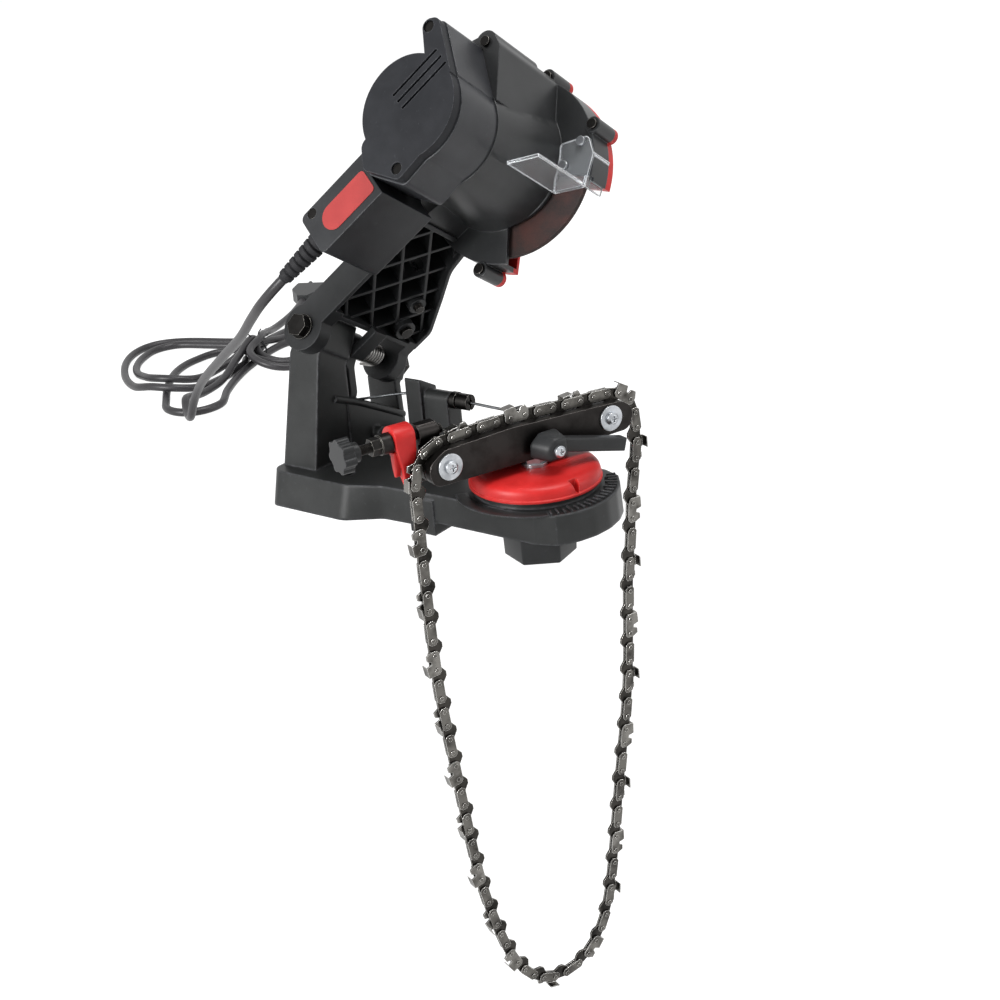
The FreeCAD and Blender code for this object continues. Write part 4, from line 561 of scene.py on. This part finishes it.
# doubles merged, normals outward, sharp corners rounded where asked, then carried into its place
def closeSolid(piece, rounding, placement, angle=35):
    bpy.ops.mesh.select_all(action="SELECT")
    bpy.ops.mesh.remove_doubles(threshold=0.000005)
    bpy.ops.mesh.normals_make_consistent(inside=False)
    if rounding:
        bpy.ops.mesh.select_all(action="DESELECT")
        bpy.ops.mesh.select_mode(type="EDGE")
        bpy.ops.mesh.edges_select_sharp(sharpness=radians(28))
        bpy.ops.mesh.bevel(offset=rounding, segments=3, clamp_overlap=True)
        bpy.ops.mesh.select_mode(type="VERT")
    bpy.ops.object.mode_set(mode="OBJECT")
    piece.data.transform(placement)
    bpy.ops.object.shade_smooth_by_angle(angle=radians(angle))


# a second piece joined to the first or cut out of it and used up; the first is left in edit mode
def combine(piece, other, operation):
    makeActive(piece)
    step = piece.modifiers.new("combine", "BOOLEAN")
    step.operation = operation
    step.object = other
    bpy.ops.object.modifier_apply(modifier=step.name)
    makeActive(other)
    bpy.ops.object.delete()
    makeActive(piece)
    bpy.ops.object.mode_set(mode="EDIT")


# the red turntable: a low drum with a wide rounded shoulder, its pointer a wedge cut in the shoulder; mm
drum = {"outline": [(5.2, 26.4), (40.9, 26.4), (40.9, 27.8), (40.1, 28.1), (40.0, 31.0), (39.4, 33.0),
                    (38.2, 34.5), (36.2, 35.4), (33.0, 35.9), (28.0, 36.0), (12.0, 36.0), (5.2, 36.0)],
        "steps": 96, "pointer": -86, "wedge": [(-3.6, 37.0), (3.4, 37.0), (1.3, 27.9), (-0.7, 27.9)],
        "wedgeFrom": 35.2, "wedgeDeep": 8.0}
turntable = openOutline("turntable_drum", [(r / 1000, 0, z / 1000) for r, z in drum["outline"]])
bpy.ops.mesh.delete(type="ONLY_FACE")
bpy.ops.mesh.select_all(action="SELECT")
bpy.ops.mesh.spin(steps=drum["steps"], angle=2 * pi, center=(0, 0, 0), axis=(0, 0, 1))
closeSolid(turntable, 0, Matrix())
wedgeSides = [(drum["wedgeFrom"] / 1000, t / 1000, z / 1000) for t, z in drum["wedge"]]
wedge = openOutline("pointer_wedge", wedgeSides)
drawOut(drum["wedgeDeep"] / 1000, 0, 0)
closeSolid(wedge, 0, Matrix.Rotation(radians(drum["pointer"]), 4, "Z"))
combine(turntable, wedge, "DIFFERENCE")
closeSolid(turntable, 0, viseFrame, 30)
giveFinish(turntable, "nylonSignalRed")
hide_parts("vise_turntable")
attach(turntable, "vise")
print("stage: turntable turned")

# the clamp lever: a block that narrows to the front round the screw, and a flat bar with a squared end;
# mm in the vise's axes, the block's ends as left, right, bottom and top, the bar as long, high and thick
lever = {"back": (-10.6, 9.6, 45.0, 60.6), "front": (-4.6, 8.6, 44.6, 58.2), "depth": (-11.0, -25.0),
         "slope": (7.0, 6.0), "round": 2.4,
         "bar": (53.0, 8.6, 7.6), "barPlace": (0.002, -0.0145, 0.0535), "turn": 14.5, "barRound": 0.9}
x0, x1, z0, z1 = (v / 1000 for v in lever["back"])
near, far = lever["depth"][1] / 1000, lever["depth"][0] / 1000
slopeWide, slopeHigh = (v / 1000 for v in lever["slope"])
clampLever = openOutline("lever_handle", [(x0, far, z0), (x1, far, z0), (x1, far, z1),
                                          (x0 + slopeWide, far, z1), (x0, far, z1 - slopeHigh)])
drawOut(0, near - far, 0)
bpy.ops.object.mode_set(mode="OBJECT")
u0, u1, w0, w1 = (v / 1000 for v in lever["front"])
for vertex in clampLever.data.vertices:
    if vertex.co.y < near + 0.0001:
        vertex.co.x = u0 + (vertex.co.x - x0) / (x1 - x0) * (u1 - u0)
        vertex.co.z = w0 + (vertex.co.z - z0) / (z1 - z0) * (w1 - w0)
bpy.ops.object.mode_set(mode="EDIT")
closeSolid(clampLever, lever["round"] / 1000, Matrix())
long, high, thick = (v / 1000 for v in lever["bar"])
leverBar = openOutline("lever_bar", [(0, 0, -high / 2), (long, 0, -high / 2),
                                     (long, 0, high / 2), (0, 0, high / 2)])
drawOut(0, -thick, 0)
closeSolid(leverBar, lever["barRound"] / 1000,
           Matrix.Translation(lever["barPlace"]) @ Matrix.Rotation(radians(lever["turn"]), 4, "Y"))
combine(clampLever, leverBar, "UNION")
closeSolid(clampLever, 0, viseFrame)
giveFinish(clampLever, "glassFilledNylonBlack")
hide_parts("clamp_lever")
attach(clampLever, "lever")
print("stage: clamp lever shaped")

# the chain stop: a claw that hangs from a round eye on the rod, with a short spur behind it; mm in the
# vise's axes; the leg narrows from "narrowFrom" down, by "narrowLeft" and "narrowRight" at its foot
claw = {"middle": (10.5, 71.5), "eye": 9.4, "eyePoints": 15, "eyeStep": 14.5, "front": 2.7,
        "width": (-91.0, -77.6), "round": 0.8,
        "leg": [(15.5, 62.0), (13.4, 56.0), (11.8, 50.0), (10.6, 44.0), (9.8, 38.6), (6.9, 38.6),
                (6.0, 44.0), (4.6, 51.0), (3.2, 58.5), (2.0, 65.5)],
        "narrowFrom": 66.5, "narrowHigh": 27.5, "narrowLeft": 6.8, "narrowRight": 2.6, "narrowCurve": 0.8,
        "spur": [(6.5, 65.5), (12.0, 65.5), (10.8, 55.5), (9.2, 50.0), (7.0, 50.5), (6.2, 57.0)],
        "spurWide": 3.4, "spurRound": 0.6}
midY, midZ = claw["middle"]
sides = []
for step in range(claw["eyePoints"]):  # over the eye, from its front to its back
    turn = radians(180 - claw["eyeStep"] * step)
    sides.append((midY + claw["eye"] * cos(turn), midZ + claw["eye"] * sin(turn)))
sides = [(max(y, claw["front"]), z) for y, z in sides + claw["leg"]]
left, right = (v / 1000 for v in claw["width"])
chainStop = openOutline("stop_claw", [(left, y / 1000, z / 1000) for y, z in sides])
drawOut(right - left, 0, 0)
bpy.ops.object.mode_set(mode="OBJECT")
for vertex in chainStop.data.vertices:
    low = min(1, max(0, (claw["narrowFrom"] / 1000 - vertex.co.z) / (claw["narrowHigh"] / 1000)))
    if vertex.co.x < left + 0.0001:
        vertex.co.x += claw["narrowLeft"] / 1000 * low ** claw["narrowCurve"]
    else:
        vertex.co.x -= claw["narrowRight"] / 1000 * low
bpy.ops.object.mode_set(mode="EDIT")
closeSolid(chainStop, claw["round"] / 1000, Matrix())
spur = openOutline("stop_spur", [(left, y / 1000, z / 1000) for y, z in claw["spur"]])
drawOut(claw["spurWide"] / 1000, 0, 0)
closeSolid(spur, claw["spurRound"] / 1000, Matrix())
combine(chainStop, spur, "UNION")
closeSolid(chainStop, 0, viseFrame)
giveFinish(chainStop, "nylonSignalRed")
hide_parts("stop_pawl")
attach(chainStop, "pawl")
print("stage: chain stop shaped")

# the knob under the nose: six broad flats that draw in a little downwards, hollow underneath
knob = {"corner": 0.0234, "top": -0.0002, "foot": -0.0225, "facing": -122.5, "taper": 0.965,
        "rim": 0.0040, "hollow": 0.0110, "round": 0.0012}
corners = []
for step in range(6):
    turn = radians(knob["facing"] + 30 + 60 * step)
    corners.append((knob["corner"] * cos(turn), knob["corner"] * sin(turn), knob["top"]))
swivelKnob = openOutline("hexagon_knob", corners)
drawOut(0, 0, knob["foot"] - knob["top"])
bpy.ops.transform.resize(value=(knob["taper"], knob["taper"], 1), center_override=(0, 0, 0))
bpy.ops.mesh.inset(thickness=knob["rim"], depth=0)
drawOut(0, 0, knob["hollow"])
closeSolid(swivelKnob, knob["round"], viseFrame)
giveFinish(swivelKnob, "phenolicKnobBlack")
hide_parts("swivel_knob")
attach(swivelKnob, "swivel_grip")
print("stage: swivel knob shaped")

# the rounded bead along the upper edge of the web
bead = {"thick": 0.0052,
        "line": [(-0.0170, 0.0208, 0.0634), (-0.0085, 0.0208, 0.0598), (0.0040, 0.0208, 0.0545),
                 (0.0220, 0.0208, 0.0452), (0.0400, 0.0208, 0.0358), (0.0490, 0.0208, 0.0310)]}
webBead = lineToTube(softLine("web_bead", bead["line"]), bead["thick"] / 2, 5)[0]
giveFinish(webBead, "glassFilledNylonCharcoal")
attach(webBead, "base")
print("stage: web bead laid")

# angle scale on the nose: a raised band with a mark every five degrees, every other one longer
scale = {"inner": 0.0420, "outer": 0.0500, "rise": 0.0003, "span": 92, "steps": 40, "top": 0.022,
         "marks": 19, "apart": 5, "long": 0.0076, "short": 0.0058, "wide": 0.0011, "high": 0.0014,
         "inset": 0.0004, "markMiddle": 0.02265, "chamfer": 0.00012}


# a turn in degrees about the middle of the nose
def aboutNose(angle):
    middle = Matrix.Translation((0, noseY, 0))
    return middle @ Matrix.Rotation(radians(angle), 4, "Z") @ middle.inverted()


deselectAll()
bandMiddle = noseY - (scale["inner"] + scale["outer"]) / 2
bpy.ops.mesh.primitive_plane_add(size=1, location=(0, bandMiddle, scale["top"]), rotation=(0, radians(90), 0))
angleBand = bpy.context.object
angleBand.name = "angle_scale"
angleBand.scale = (2 * scale["rise"], scale["outer"] - scale["inner"], 1)
bpy.ops.object.transform_apply(location=True, rotation=True, scale=True)
angleBand.data.transform(aboutNose(-scale["span"] / 2))
bpy.ops.object.mode_set(mode="EDIT")
bpy.ops.mesh.select_all(action="SELECT")
bpy.ops.mesh.spin(steps=scale["steps"], angle=radians(scale["span"]), center=(0, noseY, scale["top"]),
                  axis=(0, 0, 1))
bpy.ops.mesh.select_all(action="SELECT")
bpy.ops.mesh.remove_doubles(threshold=0.000001)
bpy.ops.mesh.normals_make_consistent(inside=False)
bpy.ops.object.mode_set(mode="OBJECT")
bands = [angleBand]
for i in range(scale["marks"]):
    long = scale["long"] if i % 2 else scale["short"]
    outerEnd = noseY - scale["outer"] + scale["inset"]
    deselectAll()
    bpy.ops.mesh.primitive_cube_add(size=1, location=(0, outerEnd + long / 2, scale["markMiddle"]))
    mark = bpy.context.object
    mark.scale = (scale["wide"], long, scale["high"])
    bpy.ops.object.transform_apply(location=True, rotation=True, scale=True)
    bpy.ops.object.mode_set(mode="EDIT")
    bpy.ops.mesh.select_all(action="SELECT")
    bpy.ops.mesh.bevel(offset=scale["chamfer"], segments=1)
    bpy.ops.object.mode_set(mode="OBJECT")
    mark.data.transform(aboutNose(scale["apart"] * (i - (scale["marks"] - 1) / 2)))
    bands.append(mark)
deselectAll()
for piece in bands:
    piece.select_set(True)
bpy.context.view_layer.objects.active = angleBand
bpy.ops.object.join()
bpy.ops.object.shade_smooth_by_angle(angle=radians(30))
giveFinish(angleBand, "glassFilledNylonCharcoal")
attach(angleBand, "base")
print("stage: angle scale raised")

# bench and floor, and how brightly each shows where it is looked at
stageSizes = {"benchFront": -0.0535, "benchTop": -0.0001, "bench": (6, 4, 0.06), "floor": -0.42,
              "floorWide": 14, "glowShare": 0.7, "benchGlow": 1.36, "floorGlow": 1.44}


def plainWhite(name, level):
    # white lacquered board: shows as plain white, and keeps the shadow of what stands on it
    material, tree, place = newMaterial(name)
    speck = addNode(tree, "TexNoise", {"Vector": place, "Scale": 400.0})
    tone = addNode(tree, "ValToRGB", {"Fac": speck.outputs["Fac"]},
                   stops=((0.2, linear("#f4f4f4")), (0.8, linear("#fafafa"))))
    board = addNode(tree, "BsdfDiffuse", {"Color": tone.outputs["Color"]})
    glow = addNode(tree, "Emission", {"Color": grey(1), "Strength": level})
    path = addNode(tree, "LightPath", {})
    straight = addNode(tree, "Math", {0: path.outputs["Is Camera Ray"],
                                      1: path.outputs["Is Transmission Ray"]}, operation="MAXIMUM")
    seen = addNode(tree, "Math", {0: straight.outputs[0], 1: path.outputs["Is Glossy Ray"]},
                   operation="MAXIMUM")
    share = addNode(tree, "Math", {0: seen.outputs[0], 1: stageSizes["glowShare"]}, operation="MULTIPLY")
    mixed = addNode(tree, "MixShader", {0: share.outputs[0], 1: board.outputs[0], 2: glow.outputs[0]})
    addNode(tree, "OutputMaterial", {"Surface": mixed.outputs[0]})
    return material


deselectAll()
bpy.ops.mesh.primitive_cube_add(size=1)
bench = bpy.context.object
bench.name = "bench_top"
wide, deep, thick = stageSizes["bench"]
benchMiddle = (0, stageSizes["benchFront"] + deep / 2, stageSizes["benchTop"] - thick / 2)
bench.data.transform(Matrix.Translation(benchMiddle) @ Matrix.Diagonal((wide, deep, thick, 1)))
bpy.ops.mesh.primitive_plane_add(size=stageSizes["floorWide"], location=(0, 0, stageSizes["floor"]))
floor = bpy.context.object
floor.name = "floor"
for board, level in ((bench, stageSizes["benchGlow"]), (floor, stageSizes["floorGlow"])):
    board.data.materials.append(plainWhite("whiteLacqueredBoard_" + board.name, level))

# a dim white room that light bounces in, seen as plain white
world = bpy.data.worlds.new("softRoom")
bpy.context.scene.world = world
world.use_nodes = True
tree = world.node_tree
tree.nodes.clear()
path = addNode(tree, "LightPath", {})
seen = addNode(tree, "Math", {0: path.outputs["Is Camera Ray"], 1: path.outputs["Is Transmission Ray"]},
               operation="MAXIMUM")
mirrored = addNode(tree, "Math", {0: seen.outputs[0], 1: path.outputs["Is Glossy Ray"]}, operation="MAXIMUM")
room = addNode(tree, "Background", {"Color": (1, 1, 1, 1), "Strength": 0.2})
backdrop = addNode(tree, "Background", {"Color": (1, 1, 1, 1), "Strength": 1.0})
mixed = addNode(tree, "MixShader", {0: mirrored.outputs[0], 1: room.outputs[0], 2: backdrop.outputs[0]})
addNode(tree, "OutputWorld", {"Surface": mixed.outputs[0]})

lampAim = Vector((0, 0, 0.05))
lamps = {
    "keyLight": dict(place=(-1.75, 0.3, 0.6), size=0.8, power=46),
    "fillLight": dict(place=(0.7, -1.8, 0.6), size=1.0, power=10),
    "topLight": dict(place=(0.1, -0.5, 1.9), size=0.9, power=28),
}
for name, lamp in lamps.items():
    light = bpy.data.lights.new(name, "AREA")
    light.size = lamp["size"]
    light.energy = lamp["power"]
    holder = bpy.data.objects.new(name, light)
    bpy.context.collection.objects.link(holder)
    aim = (lampAim - Vector(lamp["place"])).to_track_quat("-Z", "Y").to_matrix().to_4x4()
    holder.matrix_world = Matrix.Translation(lamp["place"]) @ aim

# camera: to the left and in front, looking down on the sharpener
shot = {"place": (-0.73358, -0.65613, 0.39069), "azimuth": -52.51, "elevation": 22.54, "roll": -4.78,
        "lens": 57.85, "sensor": 36}
azimuth, elevation, roll = (radians(shot[k]) for k in ("azimuth", "elevation", "roll"))
back = Vector((sin(azimuth) * cos(elevation), -cos(azimuth) * cos(elevation), sin(elevation)))
right = Vector((cos(azimuth), sin(azimuth), 0))
up = back.cross(right)
tilted = (cos(roll) * right + sin(roll) * up, -sin(roll) * right + cos(roll) * up, back)
camera = bpy.data.cameras.new("camera")
camera.lens = shot["lens"]
camera.sensor_width = shot["sensor"]
viewpoint = bpy.data.objects.new("camera", camera)
bpy.context.collection.objects.link(viewpoint)
viewpoint.matrix_world = Matrix.Translation(shot["place"]) @ Matrix(tilted).transposed().to_4x4()
bpy.context.scene.camera = viewpoint
bpy.context.scene.view_settings.view_transform = "Standard"
print("stage: lights and camera set")
